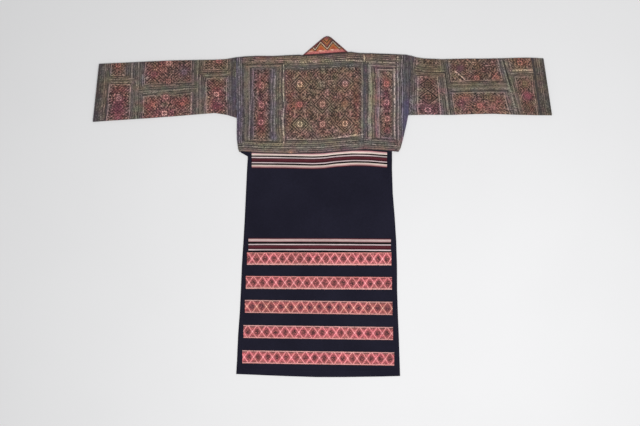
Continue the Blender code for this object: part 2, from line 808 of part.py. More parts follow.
def make_tail_panel(collection):
    """Long indigo panel, sewn under the back's hem and hemmed at its sides and foot."""
    width = TAIL_RIGHT[0].x - TAIL_LEFT[0].x
    hem_stops = (TAIL_HEM, TAIL_HEM + TAIL_HEM_EDGE)
    across = stops(0.0, width, TAIL_STEP, hem_stops + tuple(width - place for place in hem_stops))
    height = TAIL_TOP - TAIL_FOOT[0].y
    foot_stops = (height - TAIL_FOOT_HEM, height - TAIL_FOOT_HEM - TAIL_HEM_EDGE)
    bends = [TAIL_TOP - place for place in (TAIL_RAMP_FOOT, TAIL_RAMP_TOP, TAIL_LEFT[-2].y, TAIL_LEFT[-3].y)]
    down = stops(0.0, height, TAIL_STEP, list(foot_stops) + bends)
    outer = []
    inner = []
    for place_down in down:
        outer_row = []
        inner_row = []
        for place_across in across:
            side_y = TAIL_TOP - place_down
            left = along(TAIL_LEFT, "y", "x", side_y)
            right = along(TAIL_RIGHT, "y", "x", side_y)
            x = tail_across(place_across, width, left, right)
            foot = along(TAIL_FOOT, "x", "y", x) - TAIL_FOOT[0].y
            y = side_y + foot * ease(place_down / height)
            outer_row.append((x, y, tail_top(x, y)))
            inner_row.append((x, y, tail_bottom(y)))
        outer.append(outer_row)
        inner.append(inner_row)
    return cloth_wall("tail_panel", outer, inner, "indigo", collection)


def tail_across(place, width, left, right):
    """X of a place across the tail, with both hems at their true width."""
    hem = TAIL_HEM + TAIL_HEM_EDGE
    if place <= hem:
        return left + place
    if place >= width - hem:
        return right - (width - place)
    return mix(left + hem, right - hem, (place - hem) / (width - 2.0 * hem))


def trim_wall(name, rows, cloth, finish, collection):
    """Piece that lies on the tail, from rows of places, made from the tail's face moved out."""
    inner = [[(x, y, tail_top(x, y) + SEAM_GAP) for x, y in row] for row in rows]
    outer = [[(x, y, height + cloth) for x, y, height in row] for row in inner]
    return cloth_wall(name, outer, inner, finish, collection)


def make_strips(prefix, strips, line, under_hem, collection):
    """Group of narrow strips, one below the other, that follow a line across the tail."""
    places = stops(line[0].x, line[-1].x, TRIM_STEP)
    down = 0.0
    for number, strip in enumerate(strips, start=1):
        rows = []
        for edge in (down, down + strip.width - SEAM_GAP):
            row = []
            for x in places:
                y = along(line, "x", "y", x) - edge
                if under_hem:
                    y = min(y, along(HEM, "x", "y", x) - HEM_CLEARANCE)
                row.append((x, y))
            rows.append(row)
        down += strip.width
        trim_wall(f"{prefix}_{number}", rows, STRIP_CLOTH, strip.colour, collection)


def make_bands(collection):
    """Five patterned bands across the lower tail."""
    for number, band in enumerate(BANDS, start=1):
        rows = []
        for index in range(BAND_ROWS):
            share = index / (BAND_ROWS - 1)
            left_y = mix(band.left_top, band.left_foot, share)
            right_y = mix(band.right_top, band.right_foot, share)
            row = []
            for x in stops(band.left_x, band.right_x, TRIM_STEP):
                row.append((x, mix(left_y, right_y, (x - band.left_x) / (band.right_x - band.left_x))))
            rows.append(row)
        trim_wall(f"band_{number}", rows, LATTICE_CLOTH, "lattice", collection)


def main():
    """Build every piece of the jacket."""
    clear_scene()
    collection = bpy.data.collections.new("embroidered_jacket")
    bpy.context.scene.collection.children.link(collection)
    make_fronts(collection)
    make_neck_band(collection)
    make_back_panel(collection)
    make_sleeves(collection)
    make_tail_panel(collection)
    make_strips("upper_strip", UPPER_STRIPS, UPPER_STRIP_LINE, True, collection)
    make_strips("lower_strip", LOWER_STRIPS, LOWER_STRIP_LINE, False, collection)
    make_bands(collection)


main()
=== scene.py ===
"""Look of the embroidered jacket, laid out flat with its back up.

Sizes are in millimetres, in the frame's own axes, and the meshes are made in metres. Every
cloth piece is a thin wall of stitches on the form of the solid that it stands for. Counted
work is charted in cloth places: across from the middle and down from the top fold.
"""

import logging
import math
from collections.abc import Callable
from dataclasses import dataclass, field
from enum import Enum, IntEnum
from typing import NamedTuple

import bmesh
import bpy
import numpy as np
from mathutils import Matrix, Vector


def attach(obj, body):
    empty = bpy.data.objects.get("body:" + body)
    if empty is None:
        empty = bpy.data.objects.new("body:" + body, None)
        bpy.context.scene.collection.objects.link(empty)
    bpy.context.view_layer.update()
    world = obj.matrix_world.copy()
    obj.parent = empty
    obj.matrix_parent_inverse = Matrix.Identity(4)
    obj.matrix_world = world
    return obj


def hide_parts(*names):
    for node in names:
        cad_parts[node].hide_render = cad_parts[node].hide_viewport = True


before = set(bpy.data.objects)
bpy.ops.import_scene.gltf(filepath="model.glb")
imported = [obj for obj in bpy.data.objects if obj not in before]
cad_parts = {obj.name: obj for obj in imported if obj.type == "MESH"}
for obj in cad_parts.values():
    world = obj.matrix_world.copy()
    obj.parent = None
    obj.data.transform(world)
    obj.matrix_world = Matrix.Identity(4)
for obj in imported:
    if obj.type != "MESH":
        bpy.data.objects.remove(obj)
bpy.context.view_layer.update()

MM = 0.001
BODY = "root"
LOG = logging.getLogger("jacket")

# Walls and gaps, as the solids have them.
SEAM_GAP = 0.3
FRONT_WALL = 1.4
BODY_WALL = 1.9

# One counted stitch is this wide and this high, and one of the bands' is finer.
PITCH = 1.5
BAND_PITCH = 1.0

# Lengths of cloth that the charts run over, from the top fold down.
BACK_DOWN = 227.0
SLEEVE_DOWN = 140.0

Array = np.ndarray
Values = np.ndarray | float
Material = bpy.types.Material
Piece = bpy.types.Object
Socket = bpy.types.NodeSocket
Source = Socket | float | tuple[float, ...]


# Numbers


def clipped(value: Values) -> Values:
    """Value kept between 0 and 1."""
    return np.clip(value, 0.0, 1.0)


def ease(value: Values) -> Values:
    """Smooth step of a value from 0 to 1."""
    share = clipped(value)
    return share * share * (3.0 - 2.0 * share)


def mix(start: Values, end: Values, share: Values) -> Values:
    """Number or array a share of the way from start to end."""
    return start + (end - start) * share


class Pair(NamedTuple):
    """Place and value of one row of a table."""

    place: float
    value: float


Table = tuple[Pair, ...]


def read(table: Table, places: Values, soften: float = 0.0) -> Values:
    """Read a table between its rows.

    Args:
        table: Rows in rising or falling order of place.
        places: Places to read at.
        soften: Reach over which the corners of the line are rounded.

    Returns:
        The values at the places.
    """
    keys, values = zip(*sorted(table))
    if soften <= 0.0:
        return np.interp(places, keys, values)
    taps = (-1.0, -0.5, 0.0, 0.5, 1.0)
    return sum(np.interp(places + tap * soften, keys, values) for tap in taps) / len(taps)


class Seed(IntEnum):
    """Numbers that set the random draws of one use apart from those of others."""

    BACK = 7
    RIPPLE = 31
    SLEEVE = 70
    CUFF = 90
    BAND = 100
    NECK_BAND = 130
    NECK_FOOT = 133
    STRIP_EDGE = 200
    STRIP_PUCKER = 220
    BAND_EDGE = 240
    BAND_PUCKER = 250
    DYE = 260
    GREY = 280
    FLECK = 300


# Large odd numbers that stir a column, a row and a seed together.
STIR_COLUMN = 73856093
STIR_ROW = 19349663
STIR_SEED = 83492791
STIR_AGAIN = ((13, 1274126177), (15, 668265263))
KEEP = 0x7FFFFFFF
LOW_BITS = 0xFFFFFF


def chance(column: Array, row: Array, seed: int) -> Array:
    """Even number for each whole column and row, always the same for a seed.

    Args:
        column: Columns, as whole numbers.
        row: Rows, as whole numbers.
        seed: Number that sets the draw apart from others.

    Returns:
        Numbers from 0 to 1.
    """
    mixed = (column.astype(np.int64) * STIR_COLUMN) ^ (row.astype(np.int64) * STIR_ROW)
    mixed = (mixed ^ (seed * STIR_SEED)) & KEEP
    for shift, factor in STIR_AGAIN:
        mixed = ((mixed ^ (mixed >> shift)) * factor) & KEEP
    return ((mixed ^ (mixed >> 13)) & LOW_BITS) / float(LOW_BITS)


def drift(x: Values, y: Values, size: float, seed: int) -> Array:
    """Slow random change over places.

    Args:
        x: Places across.
        y: Places up or down.
        size: Size of its patches.
        seed: Number that sets the draw apart from others.

    Returns:
        Numbers from 0 to 1.
    """
    column = np.floor(x / size)
    row = np.floor(y / size)
    right = ease(x / size - column)
    up = ease(y / size - row)
    low = mix(chance(column, row, seed), chance(column + 1, row, seed), right)
    high = mix(chance(column, row + 1, seed), chance(column + 1, row + 1, seed), right)
    return mix(low, high, up)


def softened(values: Array, reach: int) -> Array:
    """Spread the values of a grid's cells twice over their neighbours.

    Args:
        values: Values of the cells.
        reach: How many cells away a neighbour may be.

    Returns:
        The spread values.
    """
    window = 2 * reach + 1
    for axis in (0, 1, 0, 1):
        pad = [(0, 0)] * values.ndim
        pad[axis] = (reach + 1, reach)
        total = np.cumsum(np.pad(values, pad, mode="edge"), axis=axis)
        start = np.arange(values.shape[axis])
        ahead = np.take(total, start + window, axis=axis)
        values = (ahead - np.take(total, start, axis=axis)) / window
    return values


def lightness(colour: Array) -> Array:
    """How light colours look, in linear light."""
    return colour @ np.array([0.2126, 0.7152, 0.0722])


def as_linear(colour: tuple[float, ...]) -> tuple[float, ...]:
    """Colour as it is seen, out of 255, in linear light."""
    return tuple(((part / 255.0 + 0.055) / 1.055) ** 2.4 for part in colour)


# Threads and stripes


class Thread(Enum):
    """Threads by their colour as it is seen, red, green and blue out of 255."""

    BLACK = (30, 27, 30)
    SHADE = (52, 44, 44)
    BROWN = (84, 63, 51)
    INDIGO = (50, 50, 66)
    SLATE = (90, 93, 101)
    TEAL = (72, 92, 92)
    SAGE = (110, 113, 100)
    OLIVE = (108, 102, 74)
    MOSS = (84, 90, 60)
    STRAW = (148, 137, 92)
    TAN = (156, 132, 108)
    ASH = (166, 158, 146)
    CREAM = (234, 214, 184)
    BLUSH = (212, 170, 162)
    ROSE = (182, 98, 104)
    MAGENTA = (142, 44, 90)
    CRIMSON = (146, 46, 62)
    MAROON = (94, 38, 48)
    RUST = (150, 78, 60)
    ORANGE = (204, 112, 68)
    LILAC = (148, 135, 152)
    PURPLE = (94, 72, 98)
    VIOLET = (80, 68, 116)
    PINK = (248, 190, 190)
    EMBER = (190, 78, 40)
    GOLD = (206, 124, 54)
    CORAL = (234, 82, 106)
    SALMON = (228, 132, 124)

    def linear(self) -> Array:
        """The thread's colour in linear light."""
        return np.array(as_linear(self.value))


class Figure(Enum):
    """Quarters of the small stars, from the centre out: heart, shade and petals."""

    STAR = ("hsspps.", "ssssss.", "ssppss.", "psppss.", "pssss..", "ssss...", ".......")
    BUD = ("hsp.", "ssp.", "pps.", "....")


class Ground(Enum):
    """Threads that take turns in the small work of a field, each with its share."""

    CENTRE = """SHADE 19, CRIMSON 11, MAROON 8, RUST 10, OLIVE 14, BROWN 13, MOSS 4, ROSE 6, TAN 9,
        SAGE 7, BLUSH 2"""
    SIDE = """SHADE 22, CRIMSON 14, MAGENTA 6, MAROON 11, OLIVE 10, BROWN 8, MOSS 3, ROSE 7, TAN 6,
        SAGE 7, SLATE 4, BLUSH 3"""
    SLEEVE = """SHADE 27, CRIMSON 16, MAROON 14, RUST 6, OLIVE 10, BROWN 9, MAGENTA 5, ROSE 6, TAN 5,
        SAGE 5, BLUSH 3"""
    WARM = "SHADE 22, RUST 10, ORANGE 2, OLIVE 18, BROWN 26, TAN 8, MAROON 6, SAGE 6"
    BRIGHT = """SHADE 24, ROSE 7, ORANGE 4, STRAW 7, CRIMSON 11, MAGENTA 5, PURPLE 4, RUST 8, TAN 7,
        BLUSH 2, OLIVE 11, BROWN 12, SAGE 4"""
    EDGE = "SHADE 24, SLATE 16, OLIVE 16, SAGE 16, BROWN 12, PURPLE 6, TAN 10"
    BAND = "CORAL 44, ROSE 24, SALMON 18, CRIMSON 14"
    COLLAR = "RUST 34, CRIMSON 14, BROWN 24, ORANGE 20, TAN 8"

    def pick(self, draw: Array) -> Array:
        """Choose a thread for each of a set of draws.

        Args:
            draw: Even numbers from 0 to 1.

        Returns:
            The threads' colours.
        """
        parts = written(Part, self.value)
        colours = np.array([part.thread.linear() for part in parts])
        edges = np.cumsum([part.share for part in parts])
        index = np.searchsorted(edges / edges[-1], draw.ravel(), side="right")
        index = np.minimum(index, len(colours) - 1)
        return colours[index].reshape(draw.shape + (3,))


class Part(NamedTuple):
    """Thread of a mixture and its share."""

    thread: Thread
    share: float


class Stripe(NamedTuple):
    """Stripe of a frame: its width, its main thread and the thread that takes turns."""

    width: float
    main: Thread
    second: Thread
    share: float = 0.5


class StripeSet(Enum):
    """Sets of stripes, each listed from the field outwards."""

    LEFT_OUT = """2.5 LILAC SLATE .4, 5 PURPLE INDIGO .4, 2 SHADE PURPLE .28, 3 ASH TAN .4, 3 SHADE OLIVE,
        4 OLIVE SAGE .4, 2.5 STRAW OLIVE, 5 SHADE SLATE"""
    LEFT_IN = """2 SHADE SLATE .4, 3 SLATE TEAL .4, 2 LILAC ASH .4, 3 SLATE SHADE .4, 3.5 PURPLE LILAC .3,
        2 ASH SAGE, 3 MOSS SHADE .4, 2.5 STRAW MOSS, 2.5 SHADE MOSS .4, 6.5 TAN BROWN, 3 SHADE PURPLE .4,
        3 ASH CREAM .4"""
    LEFT_TOP = """1.8 SHADE PURPLE .4, 2.8 SLATE ASH .4, 1.8 SHADE SLATE .4, 2.2 SAGE TAN .4,
        2.6 TAN ORANGE .3, 2.8 SHADE OLIVE"""
    LEFT_FOOT = "2.2 TAN BLUSH .4, 2.8 BROWN OLIVE, 3 SHADE OLIVE"
    CENTRE_LEFT = "1.6 PURPLE MAGENTA .4, 3 SHADE OLIVE"
    CENTRE_RIGHT = "2 TEAL SAGE, 3 SLATE ASH .3"
    CENTRE_TOP = """2.6 SHADE TEAL, 2.2 SLATE ASH .4, 2.4 PURPLE SLATE, 2.2 TEAL SAGE, 2.4 OLIVE SHADE,
        2.4 TAN SAGE"""
    CENTRE_FOOT = "2.2 ASH TAN .4, 2.2 SHADE INDIGO .4, 2.4 SAGE SLATE, 3.2 OLIVE SHADE"
    RIGHT_IN = """2.2 SHADE OLIVE .4, 2.6 ASH TAN, 4 LILAC PURPLE .4, 3.4 ROSE PURPLE .4,
        3 SHADE PURPLE .4, 4 OLIVE STRAW, 2.4 SHADE MOSS .4, 5 STRAW ASH, 4 SAGE ASH .4,
        2.2 SHADE MAROON .4, 3.6 PURPLE ROSE .4, 5 TEAL INDIGO .4"""
    RIGHT_OUT = """2.4 SHADE OLIVE, 2.4 SAGE SLATE, 2.8 ASH CREAM .4, 2.6 SHADE PURPLE .4,
        2.8 PURPLE CRIMSON .4, 2.4 ASH LILAC .4, 3 SHADE OLIVE .4"""
    RIGHT_TOP = """2.6 SHADE OLIVE, 2.6 ASH TAN, 3 SHADE PURPLE .4, 3 PURPLE ROSE .4, 2.4 ASH TAN,
        2.4 SHADE SLATE, 2.4 SAGE TAN, 2.6 OLIVE SHADE"""
    RIGHT_FOOT = "2.2 ASH LILAC, 2.6 SHADE PURPLE, 3.2 MAROON SAGE"
    # TOP starts with a dark stripe that also covers the rolled top fold: a dark thread stripe, and over the
    # roll painted shade as well.
    TOP = """3.4 SHADE BROWN, 2.2 TAN OLIVE, 1.8 SHADE SLATE, 2.4 TAN ROSE .4, 2 SHADE BROWN,
        2.4 TAN BLUSH .4, 2 SHADE OLIVE, 2.4 OLIVE TAN, 1.8 SHADE OLIVE"""
    FOOT = """2.6 TAN STRAW, 2.6 SHADE INDIGO .4, 2.4 SAGE TAN, 2.4 BLACK INDIGO, 2.8 ASH SLATE .4,
        2.6 SHADE OLIVE, 2.4 TAN SAGE, 2.4 SLATE SHADE, 2.2 TAN ROSE .3, 1.6 SHADE MAROON .3,
        4 MAROON PURPLE"""
    LEFT_EDGE = """2.8 LILAC PURPLE, 2.6 BLACK INDIGO .4, 2.6 SLATE LILAC .4, 2.4 SHADE PURPLE .4,
        2.6 ASH SLATE .4, 2.6 SHADE OLIVE"""
    RIGHT_EDGE = """2.4 OLIVE SAGE, 2.4 BLACK OLIVE .4, 2.6 LILAC ASH .4, 2.6 BLACK INDIGO .4,
        2.6 SLATE SAGE, 3.4 INDIGO TEAL .4, 2.4 SHADE OLIVE .4, 2.4 SLATE OLIVE .4, 2.4 MAROON SHADE,
        3.4 INDIGO VIOLET .4"""
    GREYS = """2.2 ASH TAN, 2.4 SHADE PURPLE .4, 2.4 SLATE LILAC .4, 2.2 SHADE OLIVE, 2.6 OLIVE SAGE .4,
        2.2 BROWN SHADE, 2.4 TAN SAGE"""
    BROWNS = """2.2 TAN BLUSH .4, 2.4 SHADE BROWN, 2.6 OLIVE TAN .4, 2.2 SHADE OLIVE, 2.4 TAN OLIVE,
        2.2 BROWN OLIVE, 2.2 STRAW BROWN"""
    TEALS = "2.2 TAN SAGE, 2.4 SHADE TEAL, 2.4 TEAL BROWN, 2 TAN OLIVE, 2.4 SHADE OLIVE, 2.4 TAN SAGE"
    ARMHOLE = "3 INDIGO SLATE .4, 2.4 PURPLE SHADE, 2.2 SAGE TAN .4, 3 SHADE OLIVE, 2.4 OLIVE BROWN"
    CUFF = """2.6 SHADE OLIVE, 3.4 INDIGO SHADE .4, 2.2 SHADE BROWN, 3 OLIVE BROWN, 2 SHADE OLIVE,
        2.6 TAN BROWN, 2 BROWN MAROON, 3 TAN OLIVE, 2.2 SHADE OLIVE, 3.2 BROWN SAGE, 2.4 SHADE TEAL .4"""


def named(word: str) -> Enum | float:
    """Named option or number that a word of a written table stands for."""
    kinds = (Thread, Figure, Ground, StripeSet)
    return next((kind[word] for kind in kinds if word in kind.__members__), None) or float(word)


def written(kind: Callable, table: str) -> tuple:
    """Objects of one kind, made from the rows of a table that are parted by commas."""
    return tuple(kind(*(named(word) for word in row.split())) for row in table.split(","))


# Form of the cloth


@dataclass(frozen=True)
class Crease:
    """Soft ridge, or a trough where its height is below nothing, along a straight line."""

    x0: float
    y0: float
    x1: float
    y1: float
    half_width: float
    height: float

    def raised(self, x: Array, y: Array) -> Array:
        """Height that the crease adds.

        Args:
            x: Places across.
            y: Places up.

        Returns:
            The heights at the places.
        """
        run_x = self.x1 - self.x0
        run_y = self.y1 - self.y0
        length = math.hypot(run_x, run_y)
        share = ((x - self.x0) * run_x + (y - self.y0) * run_y) / length**2
        aside = np.abs((x - self.x0) * run_y - (y - self.y0) * run_x) / length
        past = np.maximum(0.0, np.maximum(-share, share - 1.0)) * length
        distance = np.minimum(1.0, np.hypot(aside, past) / (self.half_width * 2.0))
        taper = np.sin(math.pi * mix(0.1, 0.9, clipped(share)))
        return self.height * taper * np.cos(distance * math.pi / 2.0) ** 2


def creased(creases: tuple[Crease, ...], x: Array, y: Array) -> Array:
    """Height that several creases add at places."""
    return sum(crease.raised(x, y) for crease in creases)


# Small unevenness of the cloth: size of its patches and how far they stand.
RIPPLES = ((34.0, 0.55), (13.0, 0.4), (6.0, 0.2))


def rippled(x: Array, y: Array, share: float = 1.0) -> Array:
    """Small unevenness of the cloth, about nothing on the whole.

    Args:
        x: Places across.
        y: Places up.
        share: How much of it is left.

    Returns:
        The heights at the places.
    """
    parts = (
        depth * (drift(x, y, size, Seed.RIPPLE + number) - 0.5)
        for number, (size, depth) in enumerate(RIPPLES)
    )
    return share * sum(parts)


class Side(Enum):
    """Sides of the jacket as it lies, by the way that X runs."""

    LEFT = -1
    RIGHT = 1


@dataclass(frozen=True)
class UpperForm:
    """Outline and outer face of the back and the sleeves."""

    shoulder: Table = written(Pair, """
        -206.9 357.4, -186.5 359.6, -158 360.9, -115 360.7, -86 362.4, -60 363.3, -46.5 361.8, 59.9 369.1,
        72 370, 86 368.1, 115 367.3, 172 365.2, 201 363.7, 213.3 361""")
    hem: Table = written(Pair, """
        -199.2 130.8, -192.5 132.2, -149.4 128.8, -77.7 127.4, -6 128.6, 54 133.4, 102 137, 150 134.6,
        182 131.2""")
    # Side edges: X for a place up the body.
    left: Table = written(Pair, """
        130.8 -199.2, 139.4 -201.8, 160 -204.6, 179 -205, 212.4 -204.7, 357.4 -206.9""")
    right: Table = written(Pair, """
        131.2 182, 139.4 187, 158.5 192.3, 177.7 196.6, 196.8 201.1, 219.1 205.4, 361 213.3""")
    armhole_left: float = 212.4
    armhole_right: float = 219.1
    neck_left: float = -56.5
    neck_right: float = 69.0
    neck_lift: float = 0.6
    neck_reach: float = 25.0
    cuff_start: float = 460.0
    cuff_reach: float = 80.0
    cuff_settle: float = 0.4
    inside: float = 3.3
    lowest: float = 4.4
    seam_half: float = 2.6
    seam_depth: float = 0.55
    folds: tuple[Crease, ...] = written(Crease, """
        -236 302 -500 283 20 .9, -214 236 -305 262 15 .8, -330 334 -452 322 14 .6, -186 148 -60 142 12 .6,
        -150 318 120 326 22 .5, -170 236 -112 310 18 .7, -20 190 60 240 24 .4, 62 150 176 149 13 .9,
        196 236 268 268 15 .9, 120 212 172 318 19 .6, 232 322 408 328 15 .7, 322 256 500 246 17 .8""")
    # Shorter creases, uneven in length, depth and spacing.
    creases: tuple[Crease, ...] = written(Crease, """
        -212 226 -262 240 4.5 .9, -214 246 -252 268 4 -.6, -232 224 -246 262 5 .5,
        -300 340 -300 296 5.5 -.5, -344 306 -438 300 6 -.5, -384 252 -420 300 6.5 .5,
        -322 268 -352 238 5 .4, -456 318 -500 326 5 .5, -470 246 -506 228 5.5 .5, -198 186 -196 150 5 .6,
        -190 142 -128 137 4 .7, -122 139 -44 136 3.5 .5, -40 143 30 147 5 -.5, 18 140 88 151 4.5 .8,
        90 146 150 141 4 .7, -70 352 40 356 4.5 .5, 84 344 150 352 5.5 -.4, -96 190 -84 320 5 .5,
        94 176 104 330 5 .5, 196 160 202 214 5.5 .7, 210 250 236 228 4.5 .8, 216 276 262 250 5 -.5,
        222 350 276 344 4.5 .6, 240 338 280 330 5 -.4, 300 290 420 297 4 .7, 330 236 380 226 5.5 .5,
        440 330 452 250 4.5 .6, 470 300 520 262 6.5 .5, -26 262 38 292 8 .4, -60 232 -20 210 8 -.4""")

    def edge(self, side: Side) -> Table:
        """Side edge of the back."""
        return self.left if side is Side.LEFT else self.right

    def armhole(self, side: Side) -> float:
        """Place up the body of the foot of an armhole."""
        return self.armhole_left if side is Side.LEFT else self.armhole_right

    def top(self, x: Array, y: Array) -> Array:
        """Height of the outer face over the table.

        Args:
            x: Places across.
            y: Places up.

        Returns:
            The heights at the places.
        """
        lift = ease(1.0 - (read(self.shoulder, x) - y) / self.neck_reach)
        past = np.maximum(0.0, np.maximum(self.neck_left - x, x - self.neck_right))
        lift = lift * ease(1.0 - past / self.neck_reach)
        settle = ease((np.abs(x) - self.cuff_start) / self.cuff_reach)
        base = self.inside + BODY_WALL + self.neck_lift * lift - self.cuff_settle * settle
        top = base + creased(self.folds, x, y) + creased(self.creases, x, y) + rippled(x, y)
        return np.maximum(top, self.lowest)

    def sink(self, distance: Array) -> Array:
        """Depth of a seam's trough at distances from its middle."""
        aside = clipped(np.abs(distance) / self.seam_half)
        return self.seam_depth * np.cos(aside * math.pi / 2.0)


UPPER = UpperForm()

ROLL = 2.8
ROLL_STEPS = 4
ROLL_CHANGE = 6.0


def rolled(top: Array, closed: Array, step: Array) -> tuple[Array, Array]:
    """Outer face at steps round an edge.

    Args:
        top: Height of the outer face beside the edge.
        closed: 1 where the edge turns down to the table and 0 where it lies flat.
        step: Step round the edge, from 0 to ROLL_STEPS.

    Returns:
        How far out the face lies, and its height.
    """
    flat = ROLL * step / ROLL_STEPS
    turn = math.pi / 2.0 * np.minimum(1.0, step / (ROLL_STEPS - 1))
    down = np.where(step == ROLL_STEPS, 0.0, top - ROLL * (1.0 - np.cos(turn)))
    return mix(flat, ROLL * np.sin(turn), closed), mix(top, down, closed)


@dataclass(frozen=True)
class TailForm:
    """Outline and upper face of the tail."""

    left: Table = written(Pair, """
        -401 -206.6, -368 -204.6, -310 -202.1, -253 -197.9, -196 -195.2, -138 -192.8, -81 -189.1,
        -23 -185.8, 34 -183.2, 91 -180.5, 120.2 -178.3, 130 -196, 143 -196""")
    right: Table = written(Pair, """
        -401 186, -368 184.9, -310 183.1, -253 180.7, -196 178.9, -138 178.6, -81 176.8, -23 173.1,
        34 168.4, 91 166.6, 143 166.6""")
    foot: Table = written(Pair, """
        -206.6 -400.7, -143.5 -403.4, -86 -405.7, -14 -408, 57.6 -408, 143.7 -406.6, 186 -405.4""")
    top: float = 143.0
    cloth: float = 1.2
    thinnest: float = 0.8
    ramp_foot: float = 88.0
    ramp_top: float = 129.0
    lap: float = 1.7
    hem: float = 8.0
    foot_hem: float = 15.0
    hem_edge: float = 1.2
    hem_rise: float = 0.5
    hem_fade: float = 10.0
    calm_top: float = 8.0
    calm_reach: float = 14.0
    ripples: float = 0.6
    folds: tuple[Crease, ...] = written(Crease, """
        2 122 16 40 18 .5, -150 60 -20 -20 26 .5, 60 20 150 -60 24 .5, -172 -150 -60 -152 20 .4,
        20 -205 164 -212 18 .5, -180 -270 -30 -266 18 .5, 40 -330 150 -334 18 .4, -120 -386 60 -390 18 .4""")
    # Shorter creases, between the bands.
    creases: tuple[Crease, ...] = written(Crease, """
        -160 76 -96 58 7 .5, -60 70 30 62 9 .4, 56 66 150 80 8 .5, -120 20 -60 -34 8 .5,
        -20 30 10 -50 7 .4, 84 40 70 -30 8 -.4, -176 -20 -150 -56 6.5 .5, 120 -50 158 -62 5.5 .4,
        -170 -152 20 -154 3.5 .5, 60 -150 160 -154 3.5 .4, -150 -208 -20 -211 4 .5,
        30 -214 150 -212 4.5 -.3, -170 -268 -60 -266 4 -.3, -20 -272 140 -276 4.5 .5,
        -160 -330 -10 -328 4 .5, 60 -336 158 -332 4 .4, -150 -388 -40 -391 4.5 .5, 40 -392 150 -394 4 .4""")

    def bottom(self, y: Array) -> Array:
        """Height of the plain under face, which rises under the back's hem."""
        return self.lap * clipped((y - self.ramp_foot) / (self.ramp_top - self.ramp_foot))

    def face(self, x: Array, y: Array) -> Array:
        """Height of the upper face over the table.

        Args:
            x: Places across.
            y: Places up.

        Returns:
            The heights at the places.
        """
        aside = np.minimum(x - read(self.left, y), read(self.right, y) - x)
        past = np.maximum(self.hem - aside, self.foot_hem - (y - read(self.foot, x)))
        hem = self.hem_rise * clipped(past / self.hem_edge + 1.0)
        hem = hem * clipped((self.ramp_top - y) / self.hem_fade)
        calm = ease((self.top - self.calm_top - y) / self.calm_reach)
        folds = creased(self.folds, x, y) + creased(self.creases, x, y)
        rise = self.bottom(y) + self.cloth + hem + folds + calm * rippled(x, y, self.ripples)
        return np.maximum(rise, self.bottom(y) + self.thinnest)


TAIL = TailForm()


# Counted work


class Motif(NamedTuple):
    """Small counted figure, with a diamond line round it where the diamond has a size."""

    across: float
    down: float
    petal: Thread
    heart: Thread
    shade: Thread = Thread.SHADE
    diamond: float = 0.0
    figure: Figure = Figure.STAR


class Streak(NamedTuple):
    """Line of thread between two cloth places."""

    across0: float
    down0: float
    across1: float
    down1: float
    thread: Thread
    width: float = 1.8
    share: float = 0.7


class Patch(NamedTuple):
    """Soft patch in which another thread takes over."""

    across: float
    down: float
    reach_across: float
    reach_down: float
    thread: Thread
    share: float


class Line(NamedTuple):
    """Line beside a figure or a zigzag: its place, half its width, thread and amount."""

    place: float
    half: float
    thread: Thread
    amount: float


@dataclass(frozen=True)
class Panel:
    """Framed panel of counted work: a patterned field with a striped frame round it."""

    left: float
    right: float
    top: float
    foot: float
    field_left: float
    field_right: float
    field_top: float
    field_foot: float
    ground: Ground
    left_stripes: StripeSet
    right_stripes: StripeSet
    top_stripes: StripeSet
    foot_stripes: StripeSet
    centres: tuple[tuple[float, float], ...]

    @classmethod
    def of(cls, *row: Enum | float) -> "Panel":
        """Panel from a written row, which ends with the centres of its counted work."""
        return cls(*row[:13], tuple(zip(row[13::2], row[14::2])))


# Lines of a diamond round a motif, by the stitches that they lie outside it.
DIAMOND_LINES = written(Line, "0 .95 BLACK .85, 2.3 .7 TAN .5, -2.4 .8 TAN .6, -4.6 .7 SHADE .75")

# Drab colour that all threads fade to, and the patches in which red, green and blue fade apart.
DRAB = np.array(as_linear((112, 100, 88)))
BLOTCHES = (13.0, 10.0, 16.0)
BLOTCH = 0.2


